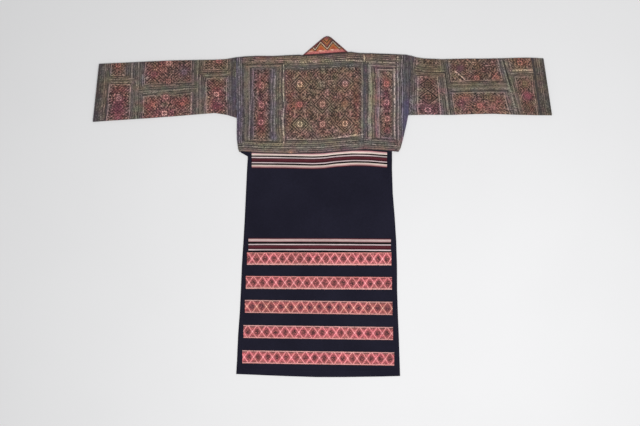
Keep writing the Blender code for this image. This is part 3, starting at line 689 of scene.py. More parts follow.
@dataclass
class Needlework:
    """Threads of one embroidered cloth, stitch by stitch, with what they stand proud."""

    across: Array
    down: Array
    seed: int
    pitch: float = PITCH
    swing: float = 3.4
    sway: float = 2.6
    colour: Array = field(init=False)
    relief: Array = field(init=False)
    column: Array = field(init=False)
    row: Array = field(init=False)
    everywhere: Array = field(init=False)
    wander_across: Array = field(init=False)
    wander_down: Array = field(init=False)

    def __post_init__(self) -> None:
        """Count the stitches and let the lines wander a little."""
        self.column = np.round(self.across / self.pitch)
        self.row = np.round(self.down / self.pitch)
        self.colour = np.zeros(self.across.shape + (3,))
        self.relief = np.zeros(self.across.shape)
        self.everywhere = np.ones(self.across.shape, dtype=bool)
        swing = drift(self.across, self.down, 38.0, self.seed + 5) - 0.5
        sway = drift(self.across, self.down, 46.0, self.seed + 6) - 0.5
        self.wander_across = self.across + self.swing * swing
        self.wander_down = self.down + self.sway * sway

    def draw(self, number: int, wide: float = 1.0, high: float = 1.0) -> Array:
        """Even numbers from 0 to 1, each shared by a block of so many stitches across and down."""
        return chance(np.floor(self.column / wide), np.floor(self.row / high), self.seed + number)

    def lay(self, where: Array, colours: Array, amount: float = 1.0) -> None:
        """Lay colours over the stitches in a mask, wholly or by an amount."""
        self.colour[where] = mix(self.colour[where], colours[where], amount)

    def thread(self, where: Array, thread: Thread, amount: Values = 1.0) -> None:
        """Lay one thread over the stitches, by a mask or by weights from 0 to 1."""
        weight = clipped(where * amount)[..., None]
        self.colour = mix(self.colour, thread.linear(), weight)

    def stripes(self, where: Array, depth: Array, stripes: StripeSet, upright: bool) -> None:
        """Lay stripes side by side.

        Args:
            where: Mask of the stitches to lay.
            depth: Distance from the first stripe's near edge.
            stripes: Stripes, which start again where the last one ends.
            upright: True where the stripes run down the cloth.
        """
        rows = written(Stripe, stripes.value)
        place = np.mod(depth, sum(stripe.width for stripe in rows))
        draw = self.draw(11, 1.0, 2.0) if upright else self.draw(12, 2.0, 1.0)
        block = self.draw(13, 1.0, 7.0) if upright else self.draw(14, 7.0, 1.0)
        draw = np.where(np.mod(draw * 31.0, 1.0) < 0.5, draw, block)
        start = 0.0
        for stripe in rows:
            here = where & (place >= start) & (place < start + stripe.width)
            edge = here & (place > start + max(1.3, 0.62 * stripe.width))
            self.thread(here, stripe.main)
            self.thread(here & (draw < stripe.share), stripe.second, 0.8)
            self.thread(edge, Thread.SHADE, 0.5)
            self.thread(here & (draw > 0.9), Thread.SHADE, 0.55)
            self.thread(here, Thread.LILAC, 0.1 if upright else 0.05)
            start += stripe.width

    def ground(self, where: Array, ground: Ground, centres: tuple[tuple[float, float], ...]) -> None:
        """Fill with small counted work that is the same on all four sides of each centre.

        Args:
            where: Mask of the stitches to fill.
            ground: Threads that take turns.
            centres: Centres of the diamonds that the work is counted in.
        """
        best = np.full(self.across.shape, np.inf)
        column = np.zeros(self.across.shape)
        row = np.zeros(self.across.shape)
        for across, down in centres:
            aside = np.abs(np.round((self.across - across) / PITCH))
            below = np.abs(np.round((self.down - down) / PITCH))
            nearer = where & (np.maximum(aside, below) < best)
            best = np.where(nearer, np.maximum(aside, below), best)
            column = np.where(nearer, aside, column)
            row = np.where(nearer, below, row)
        own = self.draw(22)
        pair = chance(np.floor(column / 2.0), np.floor(row / 2.0), self.seed + 21)
        local = self.draw(25, 2.0, 2.0)
        pair = np.where(local < 0.45, pair, np.mod(local * 17.0, 1.0))
        self.lay(where, ground.pick(np.where(own < 0.2, np.mod(own * 37.0, 1.0), pair)))
        block = chance(np.floor((column + row) / 7.0), np.floor((column - row) / 7.0), self.seed + 23)
        self.lay(where, ground.pick(block), 0.3)
        ring = np.mod(column + row, 5.0)
        cross = np.mod(column - row, 5.0)
        strong = ease(drift(self.across, self.down, 18.0, self.seed + 24) * 2.0 - 0.5)
        for place, amount in ((ring, mix(0.35, 1.0, strong)), (cross, mix(1.0, 0.25, strong))):
            wide = where & (place >= 2.0) & (place < 4.0) & (pair > 0.3)
            self.thread(wide, Thread.TAN, 0.5 * amount)
            self.thread(where & (place < 1.0) & (pair < 0.86), Thread.BLACK, 0.9 * amount)
            self.thread(where & (place == 1.0) & (pair < 0.55), Thread.BLACK, 0.6 * amount)
        self.thread(where & (pair > 0.92) & (ring >= 1.0), Thread.BLUSH, 0.4)
        self.thread(where & (pair < 0.06), Thread.BLACK, 0.6)
        self.relief[where] += 0.12 * (pair[where] - 0.5)

    def panel(self, panel: Panel) -> None:
        """Lay one framed panel.

        Args:
            panel: The panel, in cloth places.
        """
        across = self.wander_across
        down = self.wander_down
        inside = (across >= panel.left) & (across < panel.right)
        inside &= (down >= panel.top) & (down < panel.foot)
        sides = (
            (panel.field_left - across, panel.field_left - panel.left, panel.left_stripes, True),
            (across - panel.field_right, panel.right - panel.field_right, panel.right_stripes, True),
            (panel.field_top - down, panel.field_top - panel.top, panel.top_stripes, False),
            (down - panel.field_foot, panel.foot - panel.field_foot, panel.foot_stripes, False),
        )
        shares = np.stack([depth / max(margin, 0.1) for depth, margin, _, _ in sides])
        nearest = np.argmax(shares, axis=0)
        outside = inside & (shares.max(axis=0) > 0.0)
        for number, (depth, _, stripes, upright) in enumerate(sides):
            self.stripes(outside & (nearest == number), depth, stripes, upright)
        self.ground(inside & ~outside, panel.ground, panel.centres)

    def motif(self, motif: Motif) -> None:
        """Stitch one motif, the same on all four sides of its centre.

        Args:
            motif: The motif, in cloth places.
        """
        aside = np.abs(self.across - motif.across) / PITCH
        below = np.abs(self.down - motif.down) / PITCH
        chart = np.array([list(row) for row in motif.figure.value])
        last = len(chart) - 1
        column = np.round(aside).astype(int)
        row = np.round(below).astype(int)
        marks = chart[np.minimum(row, last), np.minimum(column, last)]
        marks = np.where(np.maximum(row, column) > last, ".", marks)
        if motif.diamond > 0.0:
            step = aside + below - motif.diamond / PITCH
            for line in DIAMOND_LINES:
                self.thread(np.abs(step - line.place) <= line.half, line.thread, line.amount)
        self.thread(marks == "s", motif.shade, 0.6)
        self.thread(marks == "h", motif.heart, 0.8)
        self.thread(marks == "p", motif.petal, 0.65 + 0.6 * self.draw(31))
        self.relief[marks == "p"] += 0.2

    def streak(self, streak: Streak) -> None:
        """Couch one line of thread.

        Args:
            streak: The line, in cloth places.
        """
        run_across = streak.across1 - streak.across0
        run_down = streak.down1 - streak.down0
        length = math.hypot(run_across, run_down)
        across = self.across - streak.across0
        down = self.down - streak.down0
        share = clipped((across * run_across + down * run_down) / length**2)
        distance = np.hypot(across - share * run_across, down - share * run_down)
        here = (distance <= streak.width / 2.0) & (self.draw(41) < streak.share)
        self.thread(here, streak.thread, 0.75)
        self.relief[here] += 0.2

    def patch(self, patch: Patch) -> None:
        """Let another thread take over in a soft patch.

        Args:
            patch: The patch, in cloth places.
        """
        across = (self.across - patch.across) / patch.reach_across
        down = (self.down - patch.down) / patch.reach_down
        near = ease(1.4 - 1.4 * np.hypot(across, down))
        self.thread(self.draw(51, 1.0, 2.0) < near * patch.share, patch.thread, 0.6)

    def age(self, gain: float, bleed: float = 0.86, drab: float = 0.12, reach: int = 4) -> None:
        """Let the dyes bleed and fade, unevenly, and wear some threads away.

        Args:
            gain: How light the whole cloth is.
            bleed: How far the dyes of neighbouring threads have run into each other.
            drab: How far all threads have faded to one drab colour.
            reach: How many stitches the dyes have run.
        """
        own = self.draw(61)
        slow = drift(self.across, self.down, 54.0, self.seed + 62)
        for tone, amount in ((softened(self.colour, reach), bleed), (DRAB, drab)):
            share = lightness(self.colour) / np.maximum(lightness(tone), 1e-4)
            self.colour = mix(self.colour, tone * share[..., None], amount)
        for part, size in enumerate(BLOTCHES):
            blotch = drift(self.across, self.down, size, self.seed + 63 + part) - 0.5
            self.colour[..., part] *= 1.0 + (0.0 if reach < 4 else BLOTCH) * blotch
        light = gain * (0.88 + 0.24 * slow) * (0.8 + 0.4 * own)
        self.colour *= light[..., None]
        worn = own < 0.05
        self.thread(worn, Thread.SHADE, 0.8)
        self.relief[worn] -= 0.12
        self.relief += 0.1 * (own - 0.5)


@dataclass(frozen=True)
class Chart:
    """Charted work of one cloth: its panels, and what is stitched over them."""

    panels: tuple[Panel, ...]
    patches: tuple[Patch, ...]
    streaks: tuple[Streak, ...]
    motifs: tuple[Motif, ...]

    def frame(self, work: Needlework) -> None:
        """Lay the panels."""
        for panel in self.panels:
            work.panel(panel)

    def enrich(self, work: Needlework) -> None:
        """Stitch the patches, the lines and the motifs over the panels.

        Args:
            work: Cloth to stitch on.
        """
        for patch in self.patches:
            work.patch(patch)
        for streak in self.streaks:
            work.streak(streak)
        for motif in self.motifs:
            work.motif(motif)


BACK_CHART = Chart(
    written(Panel.of, """
    -191 -91 17 204 -164 -127 31 196 SIDE LEFT_OUT LEFT_IN LEFT_TOP LEFT_FOOT -145.9 68.4 -145.9 113.4
    -146.6 154.9 -146.6 186,
    -91 98 17 204 -86.5 93 31 194 CENTRE CENTRE_LEFT CENTRE_RIGHT CENTRE_TOP CENTRE_FOOT -53.7 66 .1 67.5
    54 70.5 -53.7 112.6 .1 114.4 54 117 -53.7 159.2 .1 161 54 164,
    98 184 17 204 139.5 166 38 196 SIDE RIGHT_IN RIGHT_OUT RIGHT_TOP RIGHT_FOOT 152.5 68.9 153.6 112.7
    154.6 150.9 155 180"""),
    written(Patch, """
    -200 150 9 70 VIOLET .7, -204 190 10 40 PURPLE .8, 200 126 13 46 VIOLET .9, 196 168 14 42 VIOLET .8,
    204 50 10 40 TEAL .4, 0 6 210 16 SHADE .1, -137 -.5 32 5 CRIMSON .6, -40 10 60 12 STRAW .3,
    40 24 60 7 TEAL .45, 30 4 60 8 PURPLE .35, -76 100 11 70 CRIMSON .45, -68 118 24 12 ORANGE .5,
    84 120 12 66 CRIMSON .45, 26 100 34 26 CRIMSON .22, 60 60 50 22 OLIVE .25, 10 140 70 40 BROWN .22,
    -20 186 70 12 PURPLE .22, -46 170 10 8 INDIGO .5, -146 110 26 100 SHADE .08, 154 110 26 100 SHADE .1,
    -146 60 18 30 CRIMSON .45, -146 112 16 22 MAGENTA .5, -147 150 15 44 CRIMSON .5,
    -146 182 15 14 RUST .4, 153 56 12 20 RUST .4, 154 120 12 62 MAGENTA .55, 160 192 20 9 PURPLE .5,
    -118 178 9 26 VIOLET .6, -100 150 8 46 PURPLE .4, 176 204 26 14 ROSE .25"""),
    written(Streak, """
    -190 12.5 -94 13.5 TAN 1.7 .6, -84 13 96 16.5 CREAM 1.8 .55, 99.5 2 99.5 18 CREAM 2,
    104 18 180 17.5 CREAM, 180 2 180 17 CREAM 2, -178 22 -134 22 TAN 1.7, -178 22 -180.5 130 TAN,
    -168 30 -168 60 TAN, -167 60 -177 196 LILAC 2.4, -170.5 60 -181 190 PURPLE 2.6,
    -91.5 34 -91.5 60 TAN 1.8 .6, -91.5 60 -91.5 102 CREAM 1.9, -97 122 -93.5 190 BLUSH 3.6 .5,
    -114.7 50 -116 198 ASH 1.8 .8, 94.5 34 94.5 190 ASH 1.8 .6, 27 195 96.5 190 CREAM 2.2,
    -86 194.5 27 195 TAN 1.6 .6, 96.5 30 96.5 196 SAGE 2 .6, 113 20 114 214 ASH 2.4 .6,
    118.6 20 119 150 STRAW 1.9 .8, 126.5 84 127 180 ROSE 2.2, 173.6 34 173.8 196 ASH 1.9 .8,
    134.5 34.5 173 34.5 ASH, 180.6 24 183 214 ASH 1.8 .6, 177.6 40 177.6 190 PURPLE 2.2 .8,
    -190 206.5 -60 206 STRAW, 30 206 110 203.5 ASH 1.9 .5, 20 211.5 178 209 SAGE 1.8 .6,
    -178 214.5 10 215.5 SAGE 1.8 .6, 128 33 128 60 ASH 1.6 .5"""),
    written(Motif, """
    -53.7 66 CREAM ROSE RUST 21, .1 67.5 ASH CREAM BROWN, 54 70.5 BLUSH CREAM CRIMSON 21,
    -53.7 112.6 SALMON BLUSH CRIMSON, .1 114.4 BLUSH ORANGE RUST 21, 54 117 STRAW ORANGE RUST,
    -53.7 159.2 CREAM CREAM OLIVE 21, .1 161 BLUSH CREAM CRIMSON, 54 164 CREAM BLUSH RUST 21,
    -145.9 68.4 BLUSH SALMON CRIMSON, -145.9 113.4 BLUSH LILAC CRIMSON, -146.6 154.9 BLUSH LILAC CRIMSON,
    152.5 68.9 SALMON CREAM CRIMSON, 153.6 112.7 BLUSH LILAC MAGENTA, 154.6 150.9 BLUSH ROSE CRIMSON,
    155 180 ROSE CRIMSON MAROON, 81.5 185.4 SALMON CREAM CRIMSON 0 BUD,
    -76.9 224.5 ORANGE CREAM RUST 0 BUD"""),
)
LEFT_CHART = Chart(
    written(Panel.of, """
    -296 -222 -60 34 -281 -228 -60 24 WARM BROWNS BROWNS BROWNS BROWNS -247.5 3 -270 12,
    -296 -217 34 150 -275 -229.5 50 150 SLEEVE GREYS GREYS BROWNS BROWNS -252.5 62 -253.5 90.9 -255 126,
    -441 -296 -60 69 -423 -314 -60 56 SLEEVE GREYS GREYS TEALS TEALS -367 3 -367.5 52 -406 28 -332 26,
    -441 -296 69 160 -426 -315 88.5 160 SLEEVE GREYS GREYS TEALS TEALS -373.5 90 -376 134 -404 112 -338
    114, -512 -441 -60 43 -502 -470 -60 29 WARM GREYS GREYS BROWNS BROWNS -486 4,
    -512 -441 43 160 -503 -459 54 160 SLEEVE GREYS GREYS BROWNS BROWNS -482 62 -482 89 -483 132"""),
    written(Patch, """
    -254 116 24 28 MAGENTA .6, -254 84 20 30 CRIMSON .5, -250 8 30 20 RUST .2, -222 112 10 34 PURPLE .6,
    -212 90 8 66 VIOLET .55, -376 132 66 16 MAGENTA .5, -410 104 30 22 CRIMSON .5,
    -340 108 34 26 CRIMSON .5, -364 96 12 10 TEAL .4, -366 20 80 50 SHADE .1, -390 20 40 34 CRIMSON .3,
    -340 24 44 30 PURPLE .25, -482 108 22 34 MAGENTA .6, -482 66 20 14 CRIMSON .5, -488 6 20 20 RUST .3,
    -452 110 8 30 SLATE .4, -446 118 5 24 STRAW .4, -304 110 6 30 INDIGO .45, -288 120 6 24 INDIGO .5,
    -370 68 40 8 TEAL .4"""),
    written(Streak, """
    -504 38.5 -450 39 ASH, -506 47 -450 47.5 ASH, -456 57 -457 72 BLUSH 2.2 .8,
    -508 52 -510 138 SLATE 2 .6, -428 60.5 -330 61 TAN 1.8 .6, -426 79 -316 72 ASH 2,
    -428 88 -402 85 ASH 2 .8, -402 85 -350 84 TAN 1.8 .6, -354 88 -332 98 STRAW 1.9,
    -332 98 -326 112 STRAW 1.9 .6, -313 84 -313 138 BLUSH 2 .6, -428 60 -428 28 LILAC 2.2 .6,
    -309 40 -309 64 BLUSH 2.4 .6, -283 30 -232 29 TAN 1.7 .6, -283 40 -230 38 ASH 1.9,
    -226.5 30 -226.5 70 ASH 2, -272 48 -232 46 ASH, -278 54 -279 136 ASH 2 .6, -441.3 0 -441.3 140 SHADE,
    -294.2 0 -294.2 140 SHADE, -444 44 -298 66 SHADE 1.6 .3"""),
    written(Motif, """
    -247.5 2 SALMON CREAM MAROON, -253.5 90.9 CREAM BLUSH CRIMSON, -254.5 128 MAGENTA ROSE MAROON,
    -367.2 4 BLUSH SALMON RUST, -367.5 51 SALMON BLUSH MAROON, -373.5 91 BLUSH SALMON CRIMSON,
    -376.5 134 CREAM BLUSH MAGENTA, -404 30 ROSE LILAC MAROON, -330 28 LILAC SHADE PURPLE,
    -404 110 SALMON ROSE CRIMSON 0 BUD, -334 112 SALMON ORANGE CRIMSON 0 BUD, -487 3 SALMON CREAM MAROON,
    -482 89 BLUSH CREAM MAGENTA, -481 133 ROSE BLUSH MAGENTA"""),
)
RIGHT_CHART = Chart(
    written(Panel.of, """
    222 290 -60 33 226 280 -60 12 WARM BROWNS BROWNS BROWNS BROWNS 250 -6,
    217 290 33 160 231 268.5 45 160 SLEEVE GREYS GREYS BROWNS BROWNS 249.6 66 248.8 98 248 128,
    290 432 -60 71 301 417 -60 54 CENTRE GREYS GREYS BROWNS BROWNS 361.9 48 361.9 -10 330 20 392 20,
    290 432 71 160 300 414 86 160 BRIGHT GREYS GREYS TEALS TEALS 330 104 358 122 388 104,
    433 508 -60 36 444 500 -60 26 WARM BROWNS BROWNS BROWNS BROWNS 472 8,
    433 508 36 160 449 493 46 160 BRIGHT BROWNS BROWNS BROWNS BROWNS 472.1 61.5 474 95.8 467 125.1"""),
    written(Patch, """
    216 116 9 40 LILAC .5, 214 60 7 50 OLIVE .5, 250 124 30 26 MAGENTA .7, 250 128 26 18 PURPLE .4,
    248 60 26 22 CRIMSON .5, 250 22 40 18 OLIVE .35, 262 8 40 14 BROWN .35, 272 82 12 30 SALMON .3,
    360 20 80 50 SHADE .12, 390 26 40 30 MAROON .4, 330 12 30 18 OLIVE .3, 314 116 14 26 MAGENTA .6,
    340 104 14 12 PURPLE .4, 362 118 18 14 MAGENTA .4, 396 110 18 24 CRIMSON .45, 384 128 24 16 ROSE .4,
    330 96 30 12 ORANGE .3, 376 96 20 12 STRAW .3, 354 78 16 8 TEAL .5, 474 96 20 16 MAGENTA .75,
    468 124 22 14 MOSS .45, 472 62 20 14 STRAW .35, 445 100 8 40 SLATE .35, 472 6 30 20 ORANGE .2,
    420 110 6 30 ROSE .3"""),
    written(Streak, """
    223 14 270 18 TAN, 280 2 280 28 STRAW, 228 38 282 36 OLIVE 1.7, 228.5 46 229.5 136 ASH 2.2 .6,
    271.5 44 271 136 BLUSH 2.2 .5, 288.5 0 288.5 140 SHADE 2 .8, 300 60 300 2 TAN 1.9,
    303 64.5 424 64 ASH 2 .8, 298 70.8 430 70.8 BLACK 2.2 .85, 300 77 426 76 ASH 2.2 .75,
    312 30 334 52 CREAM 2.2 .8, 316 34 329 52 BLACK 2.2 .5, 412 30 396 52 SALMON 2.2 .8,
    408 30 392 52 BLACK 1.8 .5, 302 87 414 86 ASH, 431.3 0 431.3 140 BLACK 2.4 .85,
    426.5 2 426.5 138 ASH 2 .6, 436.5 2 436.5 138 ASH 2, 441 30 500 29 CREAM 2.2,
    501 2 502 28 BLUSH 2.4 .6, 438 37 506 35 ASH 2 .75, 505 38 507 136 TAN 2, 348 100 366 136 MOSS 1.8 .6,
    352 98 340 120 ASH 1.8 .6, 380 126 410 128 SALMON 2.2 .5"""),
    written(Motif, """
    249.6 66 OLIVE STRAW BLACK 15, 248.8 98 ROSE MAGENTA BLACK 18, 248 130 BLUSH MAGENTA PURPLE,
    361.9 48 SALMON CREAM MAROON, 326 22 MAGENTA ROSE PURPLE, 310 44 STRAW ORANGE BROWN 0 BUD,
    408 47 SALMON ORANGE RUST 0 BUD, 330 104 ORANGE STRAW PURPLE, 358 122 SALMON LILAC RUST,
    388 104 STRAW MAGENTA BROWN, 472.1 61.5 STRAW LILAC BROWN, 474 95.8 ROSE SALMON MAGENTA,
    467 127 OLIVE ASH BLACK, 470 10 SALMON CREAM MAROON"""),
)
SLEEVE_CHARTS = {Side.LEFT: LEFT_CHART, Side.RIGHT: RIGHT_CHART}


@dataclass(frozen=True)
class Lattice:
    """Diamonds of a band: the middle of the first, their width, and the band's height."""

    start: float
    step: float
    height: float
    number: int

    def work(self, across: Array, down: Array) -> Needlework:
        """Stitch the diamonds. The third band has its own threads.

        Args:
            across: Places across the tail.
            down: Places down from the band's top edge.

        Returns:
            The stitches.
        """
        work = Needlework(across, down, Seed.BAND + self.number, BAND_PITCH)
        third = self.number == 3
        own = work.draw(0)
        slow = drift(across, down, 26.0, work.seed + 1)
        half = self.step / 2.0
        work.lay(work.everywhere, Ground.BAND.pick(own))
        work.thread(slow < 0.45, Thread.RUST, 0.35)
        aside = np.abs(np.mod(across - self.start + half, self.step) - half)
        above = np.abs(down - self.height / 2.0)
        reach = aside / half + above / (self.height / 2.0)
        gap = half - aside
        up = self.height - down
        rim = np.minimum(down, up)
        work.thread(clipped((0.95 - reach) / 0.3), Thread.CRIMSON, 0.4)
        heart = np.hypot(aside / 4.8, above / 5.6) + 0.6 * (own - 0.5)
        work.thread(clipped(1.6 - heart), Thread.MAROON, 0.85)
        dark = (heart < 0.95) & (own < 0.5 + 0.3 * slow)
        work.thread(dark, Thread.INDIGO if third else Thread.SHADE, 0.8)
        work.thread((heart < 1.3) & (own > 0.88), Thread.SALMON, 0.8)
        dash = clipped((6.6 - gap) / 1.5)
        work.thread(dash * (down > 2.4) * (down < 4.6) * (own < 0.9), Thread.BLACK, 0.75)
        work.thread(dash * (up > 2.4) * (up < 4.6) * (own < 0.7), Thread.MAROON, 0.75)
        inner = (rim > 4.6) & (gap < 3.6) & (rim < 9.0)
        work.thread(inner & (own < 0.5), Thread.CRIMSON, 0.8)
        line = np.abs(reach - 1.0) / math.hypot(1.0 / half, 2.0 / self.height)
        line = clipped((0.8 - line) / 0.5) * (0.65 + 0.35 * own)
        pale = Thread.CREAM if third else Thread.PINK
        work.thread(line, pale, 0.95)
        work.relief += 0.15 * line
        work.thread(clipped(2.2 - np.hypot(gap, above)), pale)
        work.thread(down < 2.6, Thread.SALMON if self.number < 3 else Thread.BLUSH, 0.85)
        work.thread((down < 2.6) & (own < 0.4), Thread.ASH, 0.7)
        work.thread(up < 3.0, Thread.BLUSH, 0.9)
        work.thread((up < 3.0) & (own < 0.25), Thread.SALMON, 0.8)
        work.thread(rim < 0.6, Thread.MAROON, 0.7)
        work.age(1.06 if third else 1.18, 0.7, 0.05, 3)
        return work


@dataclass(frozen=True)
class Zigzag:
    """Zigzag of the neck band: where a valley lies and how wide a peak is."""

    valley: float = 59.0
    step: float = 29.2
    foot: float = 12.0
    rise: float = 17.0
    # Lines beside the zigzag, by how far they lie above it.
    lines: tuple[Line, ...] = written(Line, """
        -2.9 1.5 BLACK .85, 3 1.5 BLACK .85, 5.8 1.3 CRIMSON .7, 8.4 1.3 RUST .8, 11.4 1.7 GOLD .9,
        14.9 1.8 BROWN .95, 18.8 2.1 GOLD .9, 0 1.1 CREAM 1""")

    def work(self, along: Array, above: Array, fold: Array) -> Needlework:
        """Stitch the zigzag.

        Args:
            along: Places along the strip.
            above: Places up from the strip's seam edge.
            fold: Distance from the nearer fold line.

        Returns:
            The stitches.
        """
        work = Needlework(along, above, Seed.NECK_BAND, BAND_PITCH)
        own = work.draw(0)
        work.lay(work.everywhere, Ground.COLLAR.pick(own))
        swing = np.abs(np.mod((along - self.valley) / self.step, 1.0) - 0.5) * 2.0
        off = above - self.foot - self.rise * (1.0 - swing)
        below = (off < -2.0) & (above > 9.5)
        work.thread(below, Thread.GOLD, 0.75)
        work.thread(below & (off < -8.0), Thread.ORANGE, 0.5)
        work.thread(clipped((-9.6 - off) / 1.6) * (above > 9.5), Thread.EMBER, 0.95)
        work.thread(off > 20.5, Thread.ROSE, 0.8)
        for line in self.lines:
            here = (np.abs(off - line.place) < line.half) & (own < 0.9)
            work.thread(here, line.thread, line.amount)
        work.relief[np.abs(off) < 1.0] += 0.25
        foot = (above > 1.6) & (above < 9.0)
        work.thread(foot, Thread.ROSE, 0.9)
        work.thread(foot & (above > 3.8), Thread.SALMON, 0.55)
        work.thread(foot & (own < 0.35), Thread.SALMON, 0.6)
        patchy = drift(along, above * 3.0, 7.0, Seed.NECK_FOOT)
        work.thread((above >= 6.4) & (above < 10.6) & (patchy > 0.4), Thread.SALMON, 0.9)
        work.thread((above >= 8.0) & (above < 10.6) & (patchy > 0.6), Thread.CREAM, 0.7)
        work.thread(above <= 2.8, Thread.MAROON)
        work.thread(fold < 2.6, Thread.MAROON, 0.75)
        work.age(1.04, 0.45, 0.05, 2)
        return work


# Finishes


@dataclass
class Nodes:
    """Node tree of one finish, with short ways to add to it."""

    name: str
    material: Material = field(init=False)
    shader: bpy.types.Node = field(init=False)

    def __post_init__(self) -> None:
        """Start the material."""
        self.material = bpy.data.materials.new(self.name)
        self.material.use_nodes = True
        self.shader = self.material.node_tree.nodes["Principled BSDF"]

    def put(self, value: Source, target: Socket) -> None:
        """Link a socket to an input, or set the input to a number or a colour.

        Args:
            value: Socket, number or colour.
            target: The input.
        """
        if isinstance(value, Socket):
            self.material.node_tree.links.new(value, target)
        else:
            target.default_value = value

    def add(self, kind: str, inputs: dict[str | int, Source], **settings: str) -> bpy.types.Node:
        """Add a node.

        Args:
            kind: Type of the node.
            inputs: What goes into each of its inputs.
            settings: Its other properties.

        Returns:
            The node.
        """
        node = self.material.node_tree.nodes.new(kind)
        for key, value in settings.items():
            setattr(node, key, value)
        for key, value in inputs.items():
            self.put(value, node.inputs[key])
        return node

    def sum(self, operation: str, first: Source, second: Source = 0.0) -> Socket:
        """Result of a sum on two sockets or numbers."""
        return self.add("ShaderNodeMath", {0: first, 1: second}, operation=operation).outputs[0]

    def noise(self, scale: float, detail: float, stretch: tuple[float, ...] = (1, 1, 1)) -> Socket:
        """Soft noise over the object's own places.

        Args:
            scale: How fine it is.
            detail: How many finer layers it has.
            stretch: How much finer it is along each axis.

        Returns:
            The noise, around a half.
        """
        places = self.add("ShaderNodeTexCoord", {}).outputs["Object"]
        places = self.add("ShaderNodeMapping", {"Vector": places, "Scale": stretch}).outputs["Vector"]
        inputs = {"Vector": places, "Scale": scale, "Detail": detail}
        return self.add("ShaderNodeTexNoise", inputs).outputs["Fac"]

    def spread(self, source: Source, low: float, high: float) -> Socket:
        """Stretch a value around a half over a range."""
        span = {"From Min": 0.3, "From Max": 0.7, "To Min": low, "To Max": high}
        return self.add("ShaderNodeMapRange", {"Value": source, **span}).outputs["Result"]

    def scaled(self, colour: Source, light: Source) -> Socket:
        """Colour made lighter or darker by a value."""
        node = self.add("ShaderNodeVectorMath", {0: colour, "Scale": light}, operation="SCALE")
        return node.outputs[0]

    def blend(self, share: Source, first: tuple[float, ...], second: tuple[float, ...]) -> Socket:
        """Mix of two colours by a value."""
        inputs = {0: share, 6: (*first, 1.0), 7: (*second, 1.0)}
        return self.add("ShaderNodeMix", inputs, data_type="RGBA").outputs[2]

    def emboss(self, height: Source, distance: float, strength: float) -> None:
        """Raise the surface by a value."""
        inputs = {"Distance": distance, "Strength": strength, "Height": height}
        self.put(self.add("ShaderNodeBump", inputs).outputs["Normal"], self.shader.inputs["Normal"])

    def dress(self, colour: Source, roughness: Source, sheen: float, specular: float = 0.3) -> Material:
        """Finish the shader.

        Args:
            colour: Colour of the surface.
            roughness: How dull it is.
            sheen: How much the fibres catch the light.
            specular: How much it mirrors.

        Returns:
            The material.
        """
        inputs = {
            "Base Color": colour, "Roughness": roughness, "Sheen Weight": sheen,
            "Sheen Roughness": 0.5, "Specular IOR Level": specular,
        }
        for key, value in inputs.items():
            self.put(value, self.shader.inputs[key])
        return self.material


@dataclass(frozen=True)
class CountedWork:
    """Finish of cloth that is covered with counted stitches, in their threads' colours."""

    name: str
    # How much painted shade darkens each stitch towards its edges.
    border: float = 0.42
    sheen: float = 0.12
    roughness: float = 0.78

    def make(self) -> Material:
        """Make the material: each stitch is a soft mound with its strands across it, its colour darkened
        towards its edges as painted shade between the stitches.

        Returns:
            The material.
        """
        nodes = Nodes(self.name)
        thread = nodes.add("ShaderNodeAttribute", {}, attribute_name="thread").outputs["Color"]
        cell = nodes.add("ShaderNodeUVMap", {}, uv_map="stitch").outputs["UV"]
        x, y, _ = nodes.add("ShaderNodeSeparateXYZ", {"Vector": cell}).outputs
        across = nodes.sum("ABSOLUTE", nodes.sum("SUBTRACT", x, 0.5))
        down = nodes.sum("ABSOLUTE", nodes.sum("SUBTRACT", y, 0.5))
        far = nodes.sum("MULTIPLY", nodes.sum("MAXIMUM", across, down), 2.0)
        edge = nodes.sum("POWER", far, 5.0)
        strands = nodes.sum("SINE", nodes.sum("MULTIPLY", nodes.sum("ADD", x, y), 18.8))
        fleck = nodes.spread(nodes.noise(900.0, 2.0), 0.86, 1.14)
        # Painted shade: the colour darkens towards the edges of each stitch, where it meets the next.
        light = nodes.sum("SUBTRACT", 1.06, nodes.sum("MULTIPLY", edge, self.border))
        light = nodes.sum("ADD", light, nodes.sum("MULTIPLY", strands, 0.06))
        light = nodes.sum("MULTIPLY", light, fleck)
        mound = nodes.sum("SUBTRACT", 1.0, edge)
        nodes.emboss(nodes.sum("ADD", mound, nodes.sum("MULTIPLY", strands, 0.25)), 0.0002, 0.7)
        rough = nodes.spread(nodes.noise(300.0, 1.0), self.roughness - 0.08, self.roughness + 0.08)
        return nodes.dress(nodes.scaled(thread, light), rough, self.sheen)


